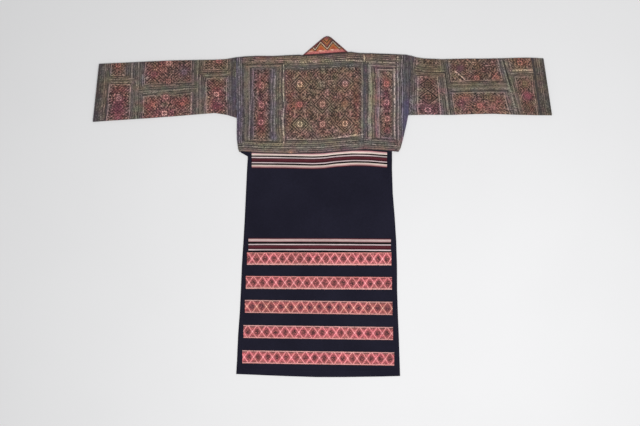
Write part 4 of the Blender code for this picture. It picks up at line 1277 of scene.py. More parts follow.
@dataclass(frozen=True)
class PlainCloth:
    """Finish of plain woven cloth: its colour, a second one in patches, and its weave."""

    name: str
    colour: tuple[int, int, int] = (128, 128, 128)
    faded: tuple[int, int, int] = (128, 128, 128)
    threads: float = 1400.0
    patches: float = 26.0
    uneven: float = 0.12
    relief: float = 0.00012
    sheen: float = 0.15
    roughness: float = 0.82
    slub: tuple[float, float, float] = (1.0, 1.0, 1.0)
    specular: float = 0.3
    dyed: bool = False

    def make(self) -> Material:
        """Make the material. A dyed one takes its colour from its threads, cell by cell: their dye, with
        painted shade.

        Returns:
            The material.
        """
        nodes = Nodes(self.name)
        places = nodes.add("ShaderNodeTexCoord", {}).outputs["Object"]
        x, y, _ = nodes.add("ShaderNodeSeparateXYZ", {"Vector": places}).outputs
        turns = self.threads * 2 * math.pi
        warp, weft = (nodes.sum("SINE", nodes.sum("MULTIPLY", way, turns)) for way in (x, y))
        weave = nodes.sum("MULTIPLY", warp, weft)
        slow = nodes.spread(nodes.noise(self.patches, 4.0), 0.0, 1.0)
        noise = nodes.noise(420.0, 3.0, self.slub)
        streaks = nodes.spread(noise, 1.0 - self.uneven, 1.0 + self.uneven)
        # Ribbon and tape take their colours, dye with painted shade, from the thread attribute.
        if self.dyed:
            tone = nodes.add("ShaderNodeAttribute", {}, attribute_name="thread").outputs["Color"]
        else:
            tone = nodes.blend(slow, as_linear(self.colour), as_linear(self.faded))
        light = nodes.sum("ADD", streaks, nodes.sum("MULTIPLY", weave, 0.05))
        height = nodes.sum("ADD", weave, nodes.sum("MULTIPLY", streaks, 1.5))
        nodes.emboss(height, self.relief, 0.6)
        return nodes.dress(nodes.scaled(tone, light), self.roughness, self.sheen, self.specular)


Finish = CountedWork | PlainCloth

STITCHWORK = CountedWork("counted_work")
# The bands' stitches have less painted shade between them.
BAND_WORK = CountedWork("band_work", border=0.3)
LINING = PlainCloth("lining_cotton", (38, 38, 54), (52, 52, 68))
INDIGO = PlainCloth(
    "indigo_cotton", (23, 22, 36), (30, 29, 44), patches=9.0, uneven=0.16, sheen=0.0, specular=0.12
)
HEM_THREAD = PlainCloth("hem_thread", (40, 39, 54), (48, 46, 62), sheen=0.0)
RIBBON = PlainCloth("ribbon", slub=(0.25, 3.0, 1.0), dyed=True)
TAPE = PlainCloth("cotton_tape", slub=(0.5, 2.0, 1.0), uneven=0.2, sheen=0.0, specular=0.1, dyed=True)


def material_of(finish: Finish) -> Material:
    """Material of a finish, which is made once."""
    return bpy.data.materials.get(finish.name) or finish.make()


# Meshes of cloth


# Edges sharper than this keep their line.
SHARP_ANGLE = math.radians(50.0)


def between(corners: Array) -> Array:
    """Mean of the four corners of each cell of a grid."""
    return (corners[:-1, :-1] + corners[1:, :-1] + corners[:-1, 1:] + corners[1:, 1:]) / 4.0


def at_corners(cells: Array) -> Array:
    """Values of a grid's cells, shared out to its corners."""
    return between(np.pad(cells, 1, mode="edge"))


def edge_loop(index: Array) -> Array:
    """Values round the edge of a grid, one after the other."""
    return np.concatenate([index[0, :], index[1:, -1], index[-1, -2::-1], index[-2:0:-1, 0]])


def stops(low: float, high: float, step: float) -> Array:
    """Places at whole and a half steps, with both ends among them.

    Args:
        low: First place.
        high: Last place.
        step: One step.

    Returns:
        The places, in rising order.
    """
    first = math.ceil(low / step + 0.5) - 0.5
    inner = np.arange(first, high / step, 1.0) * step
    inner = inner[(inner > low + 0.4 * step) & (inner < high - 0.4 * step)]
    return np.concatenate([[low], inner, [high]])


@dataclass
class Fabric:
    """Mesh of one cloth piece while it is built up, in millimetres."""

    name: str
    count: int = 0
    points: list[Array] = field(default_factory=list)
    faces: list[list[int]] = field(default_factory=list)
    slots: list[int] = field(default_factory=list)
    colours: list[Array] = field(default_factory=list)

    def add(self, x: Array, y: Array, z: Values) -> Array:
        """Add points.

        Args:
            x: Places across.
            y: Places up.
            z: Heights over the table.

        Returns:
            The points' numbers, in the same shape.
        """
        x, y, z = np.broadcast_arrays(x, y, z)
        index = self.count + np.arange(x.size).reshape(x.shape)
        self.points.append(np.stack([x, y, z], axis=-1).reshape(-1, 3))
        self.count += x.size
        return index

    def grid(self, index: Array, slot: int, colour: Array | None = None, ring: bool = False) -> None:
        """Add the faces of a grid of points.

        Args:
            index: Numbers of the points, in rows.
            slot: Finish of the faces.
            colour: Thread colours of the faces, where they are stitched.
            ring: True where the last column meets the first one.
        """
        if ring:
            index = np.concatenate([index, index[:, :1]], axis=1)
        corners = (index[:-1, :-1], index[:-1, 1:], index[1:, 1:], index[1:, :-1])
        quads = np.stack(corners, axis=-1).reshape(-1, 4)
        self.faces.extend(quads.tolist())
        self.slots.extend([slot] * len(quads))
        self.colours.append(np.full((len(quads), 3), 0.5) if colour is None else colour.reshape(-1, 3))

    def face(self, corners: Array, slot: int, colour: Array | None = None) -> None:
        """Add one face with many corners.

        Args:
            corners: Numbers of its points.
            slot: Finish of the face.
            colour: Thread colour of the face, where it is stitched.
        """
        self.faces.append([int(corner) for corner in corners])
        self.slots.append(slot)
        self.colours.append(np.full((1, 3), 0.5) if colour is None else colour.reshape(1, 3))

    def inset(self, loop: Array, reach: Array) -> tuple[Array, Array]:
        """Places of a loop of points, moved inwards.

        Args:
            loop: Numbers of the points round the loop.
            reach: How far each one moves.

        Returns:
            The new places across and up the table.
        """
        places = np.concatenate(self.points)[loop]
        run = np.roll(places[:, :2], -1, axis=0) - np.roll(places[:, :2], 1, axis=0)
        run /= np.maximum(np.linalg.norm(run, axis=1, keepdims=True), 1e-9)
        x, y = places[:, 0], places[:, 1]
        area = np.sum(x * np.roll(y, -1) - np.roll(x, -1) * y)
        turn = 1.0 if area > 0.0 else -1.0
        return x - turn * run[:, 1] * reach, y + turn * run[:, 0] * reach

    def finish(self, *finishes: Finish) -> Piece:
        """Make the object, in metres, with the threads' colours and one cell to a stitch.

        Args:
            finishes: Finishes of the face and, where it has its own, of the reverse.

        Returns:
            The object.
        """
        mesh = bpy.data.meshes.new(self.name)
        mesh.from_pydata((np.concatenate(self.points) * MM).tolist(), [], self.faces)
        for finish in finishes:
            mesh.materials.append(material_of(finish))
        mesh.polygons.foreach_set("material_index", self.slots)
        sizes = np.array([len(face) for face in self.faces])
        colours = np.repeat(np.concatenate(self.colours), sizes, axis=0)
        colours = np.concatenate([colours, np.ones((len(colours), 1))], axis=1)
        thread = mesh.color_attributes.new("thread", "FLOAT_COLOR", "CORNER")
        thread.data.foreach_set("color", colours.ravel())
        unit = np.array([(0.0, 0.0), (1.0, 0.0), (1.0, 1.0), (0.0, 1.0)])
        ends = np.cumsum(sizes)
        turn = (np.arange(ends[-1]) - np.repeat(ends - sizes, sizes)) % 4
        stitch = mesh.uv_layers.new(name="stitch")
        stitch.data.foreach_set("uv", unit[turn].ravel())
        form = bmesh.new()
        form.from_mesh(mesh)
        bmesh.ops.recalc_face_normals(form, faces=form.faces)
        for part in form.faces:
            part.smooth = True
        form.to_mesh(mesh)
        form.free()
        mesh.set_sharp_from_angle(angle=SHARP_ANGLE)
        item = bpy.data.objects.new(self.name, mesh)
        bpy.context.scene.collection.objects.link(item)
        return item


# Pieces


class Held(Enum):
    """Ways in which a cloth is held."""

    LAID = "laid"
    FOLDED = "folded"


@dataclass(frozen=True)
class Cut:
    """How a cloth was cut: its width and length, and the share of that rectangle it fills."""

    width: float
    length: float
    share: float | None = None
    held: Held = Held.LAID

    def declare(self, piece: Piece, under: tuple[str, ...] = (), trim: tuple[Piece, ...] = ()) -> None:
        """Does nothing with the piece, what it rests on or the trim sewn to it.

        Args:
            piece: The piece. Not used.
            under: Names of what it rests on. Not used.
            trim: Pieces that are sewn to it. Not used.
        """


def declare(piece: Piece, slot: str, *solids: str) -> Piece:
    """Let a piece ride on the body and stand for its solids, which are hidden.

    Args:
        piece: Piece to declare.
        slot: Slot of the record that it takes its finish from. Not used.
        solids: Solids that it stands for.

    Returns:
        The piece.
    """
    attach(piece, BODY)
    if solids:
        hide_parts(*solids)
    return piece


@dataclass
class Back:
    """Embroidered back, sewn from three upright panels and turned down at its edges."""

    seams: tuple[float, float] = (-91.3, 98.2)
    troughs: tuple[float, ...] = (-178.2, 173.6)
    level_troughs: tuple[float, ...] = (28.0, 209.0)
    slant_left: float = -170.0
    slant_right: float = 150.0
    slants_left: int = 24
    slants_right: int = 38
    widths: tuple[float, float, float] = (117.0, 189.0, 118.0)
    length: float = 238.0
    outer_share: float = 0.95
    # Where the panels end, and where the first stripe outside them starts.
    top_end: float = 17.0
    top_start: float = -3.0
    foot_start: float = 203.0
    left_end: float = -191.0
    left_start: float = -210.0
    left_foot: float = 206.0
    right_start: float = 184.0
    right_foot: float = 208.0
    # How the under face comes in from the turned edge.
    rim_share: float = 0.635
    lid_inset: float = 0.3

    def stitched(self, across: Array, down: Array) -> Needlework:
        """Counted work of the back.

        Args:
            across: Places from the middle.
            down: Places from the top fold.

        Returns:
            The stitches.
        """
        work = Needlework(across, down, Seed.BACK)
        work.ground(work.everywhere, Ground.EDGE, ((0.0, 0.0),))
        # The first stripe of TOP covers the roll of the top fold: its dark threads there are also painted
        # shade of the roll.
        top = np.maximum(work.wander_down, self.top_start) - self.top_start
        work.stripes(down < self.top_end, top, StripeSet.TOP, False)
        BACK_CHART.frame(work)
        foot = work.wander_down - self.foot_start
        work.stripes(down >= self.foot_start, foot, StripeSet.FOOT, False)
        left = (across < self.left_end) & (down < self.left_foot)
        work.stripes(left, work.wander_across - self.left_start, StripeSet.LEFT_EDGE, True)
        right = (across > self.right_start) & (down < self.right_foot)
        work.stripes(right, work.wander_across - self.right_start, StripeSet.RIGHT_EDGE, True)
        BACK_CHART.enrich(work)
        work.age(1.0)
        return work

    def columns(self, start: float | None, end: float | None) -> Array:
        """Columns of a panel.

        Args:
            start: Left seam of the panel, or None for the back's left edge.
            end: Right seam of the panel, or None for the back's right edge.

        Returns:
            Rows of side, step round the edge, share of the slanted zone, and place across.
        """
        low = self.slant_left if start is None else start + SEAM_GAP / 2.0
        high = self.slant_right if end is None else end - SEAM_GAP / 2.0
        columns = [(0, 0, 0.0, place) for place in stops(low, high, PITCH)]
        if start is None:
            shares = np.linspace(1.0, 0.0, self.slants_left)[:-1]
            edge = [(-1, step, 1.0, 0.0) for step in range(ROLL_STEPS, 0, -1)]
            columns = edge + [(-1, 0, share, 0.0) for share in shares] + columns
        if end is None:
            shares = np.linspace(0.0, 1.0, self.slants_right)[1:]
            edge = [(1, step, 1.0, 0.0) for step in range(1, ROLL_STEPS + 1)]
            columns = columns + [(1, 0, share, 0.0) for share in shares] + edge
        return np.array(columns)

    def make_panel(self, name: str, start: float | None, end: float | None) -> Piece:
        """Make one upright panel.

        Args:
            name: Name of the panel.
            start: Left seam of the panel, or None for the back's left edge.
            end: Right seam of the panel, or None for the back's right edge.

        Returns:
            The panel.
        """
        columns = self.columns(start, end)
        side, step, share, fixed = (columns[:, number][None, :] for number in range(4))
        flat_down = stops(0.0, BACK_DOWN, PITCH)
        over = np.concatenate([np.arange(ROLL_STEPS, 0, -1), np.zeros(len(flat_down))])[:, None]
        down = np.concatenate([np.zeros(ROLL_STEPS), flat_down])[:, None]
        part = down / BACK_DOWN
        left, right = (
            read(edge, mix(edge[-1].place, edge[0].place, part)) for edge in (UPPER.left, UPPER.right)
        )
        x = np.where(side < 0, mix(self.slant_left, left + ROLL, share), fixed)
        x = np.where(side > 0, mix(self.slant_right, right - ROLL, share), x)
        y = mix(read(UPPER.shoulder, x) - ROLL, read(UPPER.hem, x), part)
        top = UPPER.top(x, y)
        foot = np.where(side < 0, UPPER.armhole_left, UPPER.armhole_right)
        past = np.maximum(UPPER.neck_left - x, x - UPPER.neck_right)
        aside, aside_z = rolled(top, clipped((foot - y) / ROLL_CHANGE), step + 0.0 * y)
        up, up_z = rolled(top, clipped(past / ROLL_CHANGE), over + 0.0 * y)
        sink = sum(UPPER.sink(x - place) for place in self.troughs + self.seams)
        sink = sink + sum(UPPER.sink(down - place) for place in self.level_troughs)
        x = x + side * aside
        y = y + up
        work = self.stitched(between(x), between(down - PITCH * over + 0.0 * x))
        flat = (over == 0) & (step == 0)
        z = aside_z + up_z - top - np.where(flat, sink, 0.0)
        z = np.maximum(0.0, z + np.where(flat, at_corners(work.relief), 0.0))
        fabric = Fabric(name)
        outer = fabric.add(x, y, z)
        fabric.grid(outer, 0, work.colour)
        loop = edge_loop(outer)
        height = edge_loop(z)
        turn = BODY_WALL * clipped(1.0 - height / (UPPER.inside + BODY_WALL))
        rim_x, rim_y = fabric.inset(loop, turn)
        rim = fabric.add(rim_x, rim_y, np.minimum(height * self.rim_share, UPPER.inside))
        lid_x, lid_y = fabric.inset(loop, turn + self.lid_inset)
        lid = fabric.add(lid_x, lid_y, UPPER.inside)
        fabric.grid(np.stack([loop, rim, lid]), 1, ring=True)
        fabric.face(lid, 1)
        return fabric.finish(STITCHWORK, LINING)

    def build(self) -> list[Piece]:
        """Returns:
            The panels.
        """
        ends = (None, *self.seams, None)
        shares = (self.outer_share, 1.0, self.outer_share)
        panels = []
        for number, name in enumerate(("back_left", "back_centre", "back_right")):
            panel = self.make_panel(name, ends[number], ends[number + 1])
            declare(panel, "body_embroidery", "back_panel")
            cut = Cut(self.widths[number], self.length, shares[number])
            cut.declare(panel, ("neck_band", "front_left", "front_right"))
            panels.append(panel)
        return panels


class Section(NamedTuple):
    """Section through a sleeve: its top fold and its foot fold."""

    x: float
    top_y: float
    foot_x: float
    foot_y: float


SECTIONS = {
    Side.LEFT: written(Section, """
        -207.2 357.4 -205 212.4, -229.6 353.4 -229.6 220, -258.3 351.8 -258.3 224.3,
        -294.2 351.3 -295 221.4, -358.8 349.9 -360 216.1, -416.3 347.6 -418.7 211.7,
        -441.4 346.4 -444.5 210.1, -473.7 344.9 -479.7 207.8, -507.2 343.4 -520.4 205.2,
        -534 342.1 -549.1 203"""),
    Side.RIGHT: written(Section, """
        213.6 361 205.7 219.1, 225.6 357.6 222 219.6, 244.2 354.7 248 220.2, 288.5 353 306.9 219.6,
        344.7 354.5 365 221.8, 387.8 354.4 410 222.4, 431.3 355.4 470.3 219.9, 484.7 356.7 506 219.1,
        498.6 356.7 518.7 219, 528.5 355.2 549.1 218.8"""),
}


@dataclass
class Tube:
    """Flat-pressed tube of a sleeve or a cuff, between two places along its top fold."""

    name: str
    side: Side
    start: float
    end: float
    seams: tuple[float, ...] = ()
    long_seam: bool = False
    slot: str = "body_embroidery"
    around: float = 2.0 * 141.0
    armhole_start: float = 200.0
    armhole_end: float = 222.0
    ground_centre: float = 350.0
    knot_gap: float = 4.0
    # The lower corners: how high they lie, and how far past the folds they are charted.
    corner: float = 0.8
    corner_past: float = 6.0

    def stitched(self, across: Array, down: Array) -> Needlework:
        """Counted work of a sleeve.

        Args:
            across: Places along the top fold.
            down: Places from the top fold to the foot fold.

        Returns:
            The stitches.
        """
        way = self.side.value
        work = Needlework(across, down, Seed.SLEEVE + way)
        work.ground(work.everywhere, Ground.EDGE, ((way * self.ground_centre, 0.0),))
        armhole = np.abs(work.wander_across) - self.armhole_start
        work.stripes(np.abs(across) < self.armhole_end, armhole, StripeSet.ARMHOLE, True)
        SLEEVE_CHARTS[self.side].frame(work)
        SLEEVE_CHARTS[self.side].enrich(work)
        work.age(0.97)
        return work

    def lines(self, along: Array) -> tuple[Array, ...]:
        """Top fold and foot fold of the tube.

        Args:
            along: Places along the sleeve.

        Returns:
            X and Y of the top fold, and X and Y of the foot fold.
        """
        sections = SECTIONS[self.side]
        ends = (
            read(tuple(Pair(row.x, row[column]) for row in sections), along)[:, None]
            for column in (1, 2, 3)
        )
        return along[:, None], *ends

    def rings(self, along: Array, inside: bool) -> tuple[Array, ...]:
        """Rings of points round the tube.

        Args:
            along: Places along the top fold.
            inside: True for the inner face of the cloth.

        Returns:
            X, Y and Z of the points, and their places down the cloth.
        """
        top_x, top_y, foot_x, foot_y = self.lines(along)
        length = np.hypot(foot_x - top_x, foot_y - top_y)
        middle = stops(0.0, SLEEVE_DOWN, PITCH)
        count = len(middle)
        turns = np.arange(ROLL_STEPS - 1, 0, -1.0)
        ends = len(turns)
        share = np.concatenate([[0.0] * ends, middle / SLEEVE_DOWN, [1.0] * ends])[None, :]
        step = np.concatenate([turns, np.zeros(count), turns[::-1]])[None, :]
        outward = np.concatenate([-np.ones(ends), np.zeros(count), np.ones(ends)])[None, :]
        reach = mix(ROLL, length - ROLL, share)
        x = top_x + (foot_x - top_x) * reach / length
        y = top_y + (foot_y - top_y) * reach / length
        angle = math.pi / 2.0 * np.minimum(1.0, step / (ROLL_STEPS - 1))
        under = mix(length, 0.0, np.linspace(0.0, 1.0, count)[None, :])
        if inside:
            top = UPPER.inside + BODY_WALL + 0.0 * x
            corner, floor = FRONT_WALL + SEAM_GAP, FRONT_WALL
            inset, margin = BODY_WALL, BODY_WALL + SEAM_GAP
        else:
            top = UPPER.top(x, y)
            corner, floor = self.corner, 0.0
            inset, margin = 0.0, self.corner
        low_reach = np.clip(under, margin, length - margin)
        radius = ROLL - inset
        height = top - ROLL + radius * np.cos(angle)
        reach = reach + outward * radius * np.sin(angle)
        blank = 0.0 * length
        reach = np.concatenate([reach, length - inset, low_reach, blank + inset], axis=1)
        low = 0.0 * low_reach + floor
        height = np.concatenate([height, blank + corner, low, blank + corner], axis=1)
        x = top_x + (foot_x - top_x) * reach / length
        y = top_y + (foot_y - top_y) * reach / length
        low_down = np.linspace(SLEEVE_DOWN, 0.0, count)
        past = SLEEVE_DOWN + turns[::-1] * PITCH
        foot, head = [SLEEVE_DOWN + self.corner_past], [-self.corner_past]
        down = [-turns * PITCH, middle, past, foot, low_down, head]
        return x, y, height, np.concatenate(down)[None, :] + blank

    def build(self) -> list[Piece]:
        """Returns:
            The tube.
        """
        low, high = sorted((self.start, self.end))
        along = stops(low, high, PITCH)
        x, y, z, down = self.rings(along, False)
        across = along[:, None] + 0.0 * down
        cells = [np.concatenate([part, part[:, :1]], axis=1) for part in (across, down)]
        work = self.stitched(between(cells[0]), between(cells[1]))
        sink = sum(UPPER.sink(across - seam) for seam in self.seams)
        if self.long_seam:
            reach = (across > min(self.seams)) & (across < max(self.seams))
            sink = sink + UPPER.sink(down - SLEEVE_DOWN / 2.0) * reach
        first = ROLL_STEPS - 1
        face_up = np.zeros(z.shape, dtype=bool)
        face_up[:, first : first + len(stops(0.0, SLEEVE_DOWN, PITCH))] = True
        z = z + np.where(face_up, at_corners(work.relief)[:, :-1] - sink, 0.0)
        fabric = Fabric(self.name + "_cloth")
        outer = fabric.add(x, y, z)
        fabric.grid(outer, 0, work.colour, ring=True)
        gap = self.knot_gap
        knots = [row.x for row in SECTIONS[self.side] if low + gap < row.x < high - gap]
        inner = fabric.add(*self.rings(np.array(sorted([low, high] + knots)), True)[:3])
        fabric.grid(inner, 1, ring=True)
        for end in (0, -1):
            fabric.grid(np.stack([outer[end], inner[end]]), 1, ring=True)
        piece = declare(fabric.finish(STITCHWORK, LINING), self.slot, self.name)
        Cut(self.around, high - low).declare(piece)
        return [piece]


@dataclass
class Cuff(Tube):
    """Cuff in plain stripes, which follow its slanted end."""

    slot: str = "cuff_cloth"
    first_stripe: float = 498.0
    dark_start: float = 60.0
    dark_reach: float = 70.0

    def stitched(self, across: Array, down: Array) -> Needlework:
        """Stripes of the cuff.

        Args:
            across: Places along the top fold.
            down: Places from the top fold to the foot fold.

        Returns:
            The stitches.
        """
        left = self.side is Side.LEFT
        work = Needlework(across, down, Seed.CUFF + self.side.value)
        depth = np.abs(work.wander_across) - self.first_stripe
        work.stripes(work.everywhere, depth, StripeSet.CUFF, True)
        dark = ease((down - self.dark_start) / self.dark_reach)
        work.thread(work.draw(0) < dark * 0.3, Thread.INDIGO if left else Thread.SHADE, 0.7)
        work.age(1.02 if left else 0.96)
        return work


@dataclass
class Sleeves:
    """Both sleeves, pieced from three lengths each, and both striped cuffs."""

    tubes: tuple[Tube, ...] = (
        Tube("sleeve_left", Side.LEFT, -207.2, -507.2, (-294.2, -441.4)),
        Cuff("cuff_left", Side.LEFT, -507.5, -534.0),
        Tube("sleeve_right", Side.RIGHT, 213.6, 498.6, (288.5, 431.3), long_seam=True),
        Cuff("cuff_right", Side.RIGHT, 498.9, 528.5),
    )

    def build(self) -> list[Piece]:
        return [piece for tube in self.tubes for piece in tube.build()]


@dataclass
class NeckBand:
    """Straight strip round the neck, folded over itself at both ends of the back neck."""

    left: tuple[float, float] = (-46.5, 361.2)
    right: tuple[float, float] = (59.9, 369.1)
    apex: tuple[float, float] = (11.4, 407.4)
    cloth: float = 1.3
    blunt: float = 8.0
    tuck: float = 2.0
    radius: float = 1.15
    bow: float = 0.5
    turns: int = 8
    leg_steps: int = 120
    base_steps: int = 104
    leg_foot: float = 139.0
    round_share: float = 0.4
    # The stitches stand proud by this share where the cloth lies above this height.
    relief_share: float = 0.7
    relief_over: float = 2.5
    cut_share: float = 0.9
    zigzag: Zigzag = Zigzag()

    def frame(self) -> tuple[Array, Array, float, float]:
        """Lie of the strip.

        Returns:
            The way along it and the way across it, its length between the folds and its width.
        """
        base = np.array(self.right) - np.array(self.left)
        length = float(np.linalg.norm(base))
        run = base / length
        rise = np.array([-run[1], run[0]])
        width = float((np.array(self.apex) - np.array(self.left)) @ rise)
        return run, rise, length, width

    def leg(self, side: Side, across: Array) -> tuple[Array, Array, Array]:
        """Middle of the cloth from one fold line down to the foot of its leg.

        Args:
            side: Side of the fold.
            across: Places across the strip.

        Returns:
            Places in X, Y and Z, the strip's own places along it, and the distance past
            the fold line.
        """
        way = side.value
        run, rise, base, width = self.frame()
        apex_run = float((np.array(self.apex) - np.array(self.left)) @ run)
        start = 0.0 if side is Side.LEFT else base
        end = apex_run + way * self.blunt / 2.0
        length = math.hypot(end - start, width)
        lean = (end - start) / length
        climb = width / length
        slope = abs(lean) / climb
        line = lean * run + climb * rise
        out = np.array([way * line[1], -way * line[0]])
        arc = math.pi * self.radius
        round_off = self.round_share * self.blunt * clipped(across / width * 12.0 - 11.0) ** 2
        reach = mix(start, end, across / width) - way * round_off
        crest = np.array(self.left) + reach[:, None] * run + across[:, None] * rise
        fall = line[1] * slope + out[1]
        foot = (crest[:, 1] - self.leg_foot + out[1] * arc) / fall
        shares = np.linspace(0.0, 1.0, self.leg_steps)[None, 1:]
        turned = np.linspace(0.0, arc, self.turns + 1)[None, :] + 0.0 * foot[:, None]
        past = np.concatenate([turned, mix(arc, foot[:, None], shares)], axis=1)
        angle = np.minimum(past / self.radius, math.pi)
        sideways = self.radius * np.sin(angle) + np.minimum(0.0, arc - past)
        height = self.cloth / 2.0 + 2.0 * self.radius - self.radius * (1.0 - np.cos(angle))
        flat = crest[:, None, :] - line * (past * slope)[..., None] + out * sideways[..., None]
        along = reach[:, None] + way * past * math.hypot(1.0, slope)
        return np.dstack([flat, height]), along, past

    def lie(self) -> tuple[Array, Array, Array, Array]:
        """Middle of the cloth over the whole strip.

        Returns:
            Places in X, Y and Z, places along the strip and across it, and the distance from
            the nearer fold line.
        """
        run, rise, _, width = self.frame()
        across = stops(-self.tuck, width, BAND_PITCH)
        left, left_along, left_past = self.leg(Side.LEFT, across)
        right, right_along, right_past = self.leg(Side.RIGHT, across)
        shares = np.linspace(0.0, 1.0, self.base_steps)[None, 1:-1]
        along = mix(left_along[:, :1], right_along[:, :1], shares)
        middle = np.array(self.left) + along[..., None] * run + across[:, None, None] * rise
        up = clipped(across / width)[:, None]
        bow = self.bow * np.sin(math.pi * shares) * np.sin(math.pi * up)
        middle = np.dstack([middle, left[:, :1, 2] + bow])
        gap = np.minimum(along - left_along[:, :1], right_along[:, :1] - along)
        places = np.concatenate([left[:, ::-1], middle, right], axis=1)
        along = np.concatenate([left_along[:, ::-1], along, right_along], axis=1)
        past = np.concatenate([left_past[:, ::-1], np.maximum(gap, 0.0), right_past], axis=1)
        return places, along, across[:, None] + 0.0 * along, past

    def build(self) -> list[Piece]:
        """Returns:
            The band.
        """
        places, along, across, past = self.lie()
        work = self.zigzag.work(between(along), between(across), between(past))
        facing = np.cross(np.gradient(places, axis=1), np.gradient(places, axis=0))
        facing /= np.linalg.norm(facing, axis=2, keepdims=True)
        face = places + facing * self.cloth / 2.0
        over = places[..., 2] > self.relief_over
        face[..., 2] += at_corners(work.relief) * over * self.relief_share
        reverse = places - facing * self.cloth / 2.0
        fabric = Fabric("neck_band_cloth")
        outer, inner = (fabric.add(*np.moveaxis(side, 2, 0)) for side in (face, reverse))
        fabric.grid(outer, 0, work.colour)
        fabric.grid(inner, 1)
        fabric.grid(np.stack([edge_loop(outer), edge_loop(inner)]), 1, ring=True)
        piece = declare(fabric.finish(STITCHWORK, LINING), "neck_band_cloth", "neck_band")
        width = self.frame()[3] + self.tuck
        Cut(width, float(along.max() - along.min()), self.cut_share, Held.FOLDED).declare(piece)
        return [piece]


@dataclass
class Fronts:
    """Both fronts, flat on the table under the back, in plain lining cotton."""

    band: NeckBand
    rise: float = 2.5
    gap: float = 0.9
    neck_cut: float = 4.0
    armhole_step: float = 1.0
    cut_share: float = 0.9
    # Height of each ring round the edge, and how far it lies inside the outline.
    rings: tuple[tuple[float, float], ...] = ((0.0, 0.35), (0.4, 0.0), (1.0, 0.0), (FRONT_WALL, 0.35))

    def outline(self, side: Side) -> list[tuple[float, float]]:
        """Outline of one front as seen from above.

        Args:
            side: Side of the jacket.

        Returns:
            Its corners, from the hem round by the side.
        """
        way = side.value
        edge = UPPER.edge(side)
        armhole_foot = UPPER.armhole(side)
        leg, _, _ = self.band.leg(side, np.array([-self.band.tuck]))
        top, foot = leg[0, self.band.turns], leg[0, -1]
        inset = BODY_WALL + self.gap
        lean = (foot[0] - top[0]) / (foot[1] - top[1])
        neck = top[0] - lean * top[1] + way * SEAM_GAP

        def hem(x: float) -> float:
            """Place up the body of the front's hem."""
            return float(read(UPPER.hem, x)) + self.rise

        def top_edge(x: float) -> float:
            """Place up the body of the front's top edge."""
            return float(read(UPPER.shoulder, x)) - inset

        inner_x = float(neck + lean * hem(foot[0]))
        side_x = float(read(edge, edge[0].place + self.rise)) - way * inset
        armhole_x = float(read(edge, armhole_foot))
        top_x = edge[-1].value
        neck_x = float(top[0]) + way * self.neck_cut
        neck_y = float(top[1]) - self.neck_cut
        return [
            (inner_x, hem(inner_x)),
            *((x, y + self.rise) for x, y in UPPER.hem[::way] if way * inner_x < way * x < way * side_x),
            (side_x, hem(side_x)),
            *((x - way * inset, y) for y, x in edge[1:-1] if y < armhole_foot),
            (armhole_x - way * inset, armhole_foot),
            (armhole_x, armhole_foot + self.armhole_step),
            (top_x, top_edge(top_x)),
            *((x, y - inset) for x, y in UPPER.shoulder[::-way] if way * neck_x < way * x < way * top_x),
            (neck_x, top_edge(neck_x)),
            (float(neck + lean * neck_y), neck_y),
        ]

    def build(self) -> list[Piece]:
        """Make and declare both fronts.

        Returns:
            The fronts.
        """
        pieces = []
        for side, name in ((Side.LEFT, "front_left"), (Side.RIGHT, "front_right")):
            corners = np.array(self.outline(side))
            guide = Fabric("guide")
            edge = guide.add(corners[:, 0], corners[:, 1], 0.0)
            fabric = Fabric(name + "_cloth")
            rows = [
                fabric.add(*guide.inset(edge, np.full(len(edge), inset)), height)
                for height, inset in self.rings
            ]
            fabric.grid(np.stack(rows), 0, ring=True)
            fabric.face(rows[0], 0)
            fabric.face(rows[-1], 0)
            piece = declare(fabric.finish(LINING), "lining_cloth", name)
            Cut(*(corners.max(axis=0) - corners.min(axis=0)), self.cut_share).declare(piece)
            pieces.append(piece)
        return pieces


# Share of a running stitch's length, its thickness and how it arches, from end to end.
STITCH_RINGS = (
    (-0.5, 0.08, -0.16), (-0.42, 0.2, 0.0), (-0.2, 0.27, 0.1),
    (0.2, 0.27, 0.1), (0.42, 0.2, 0.0), (0.5, 0.08, -0.16),
)


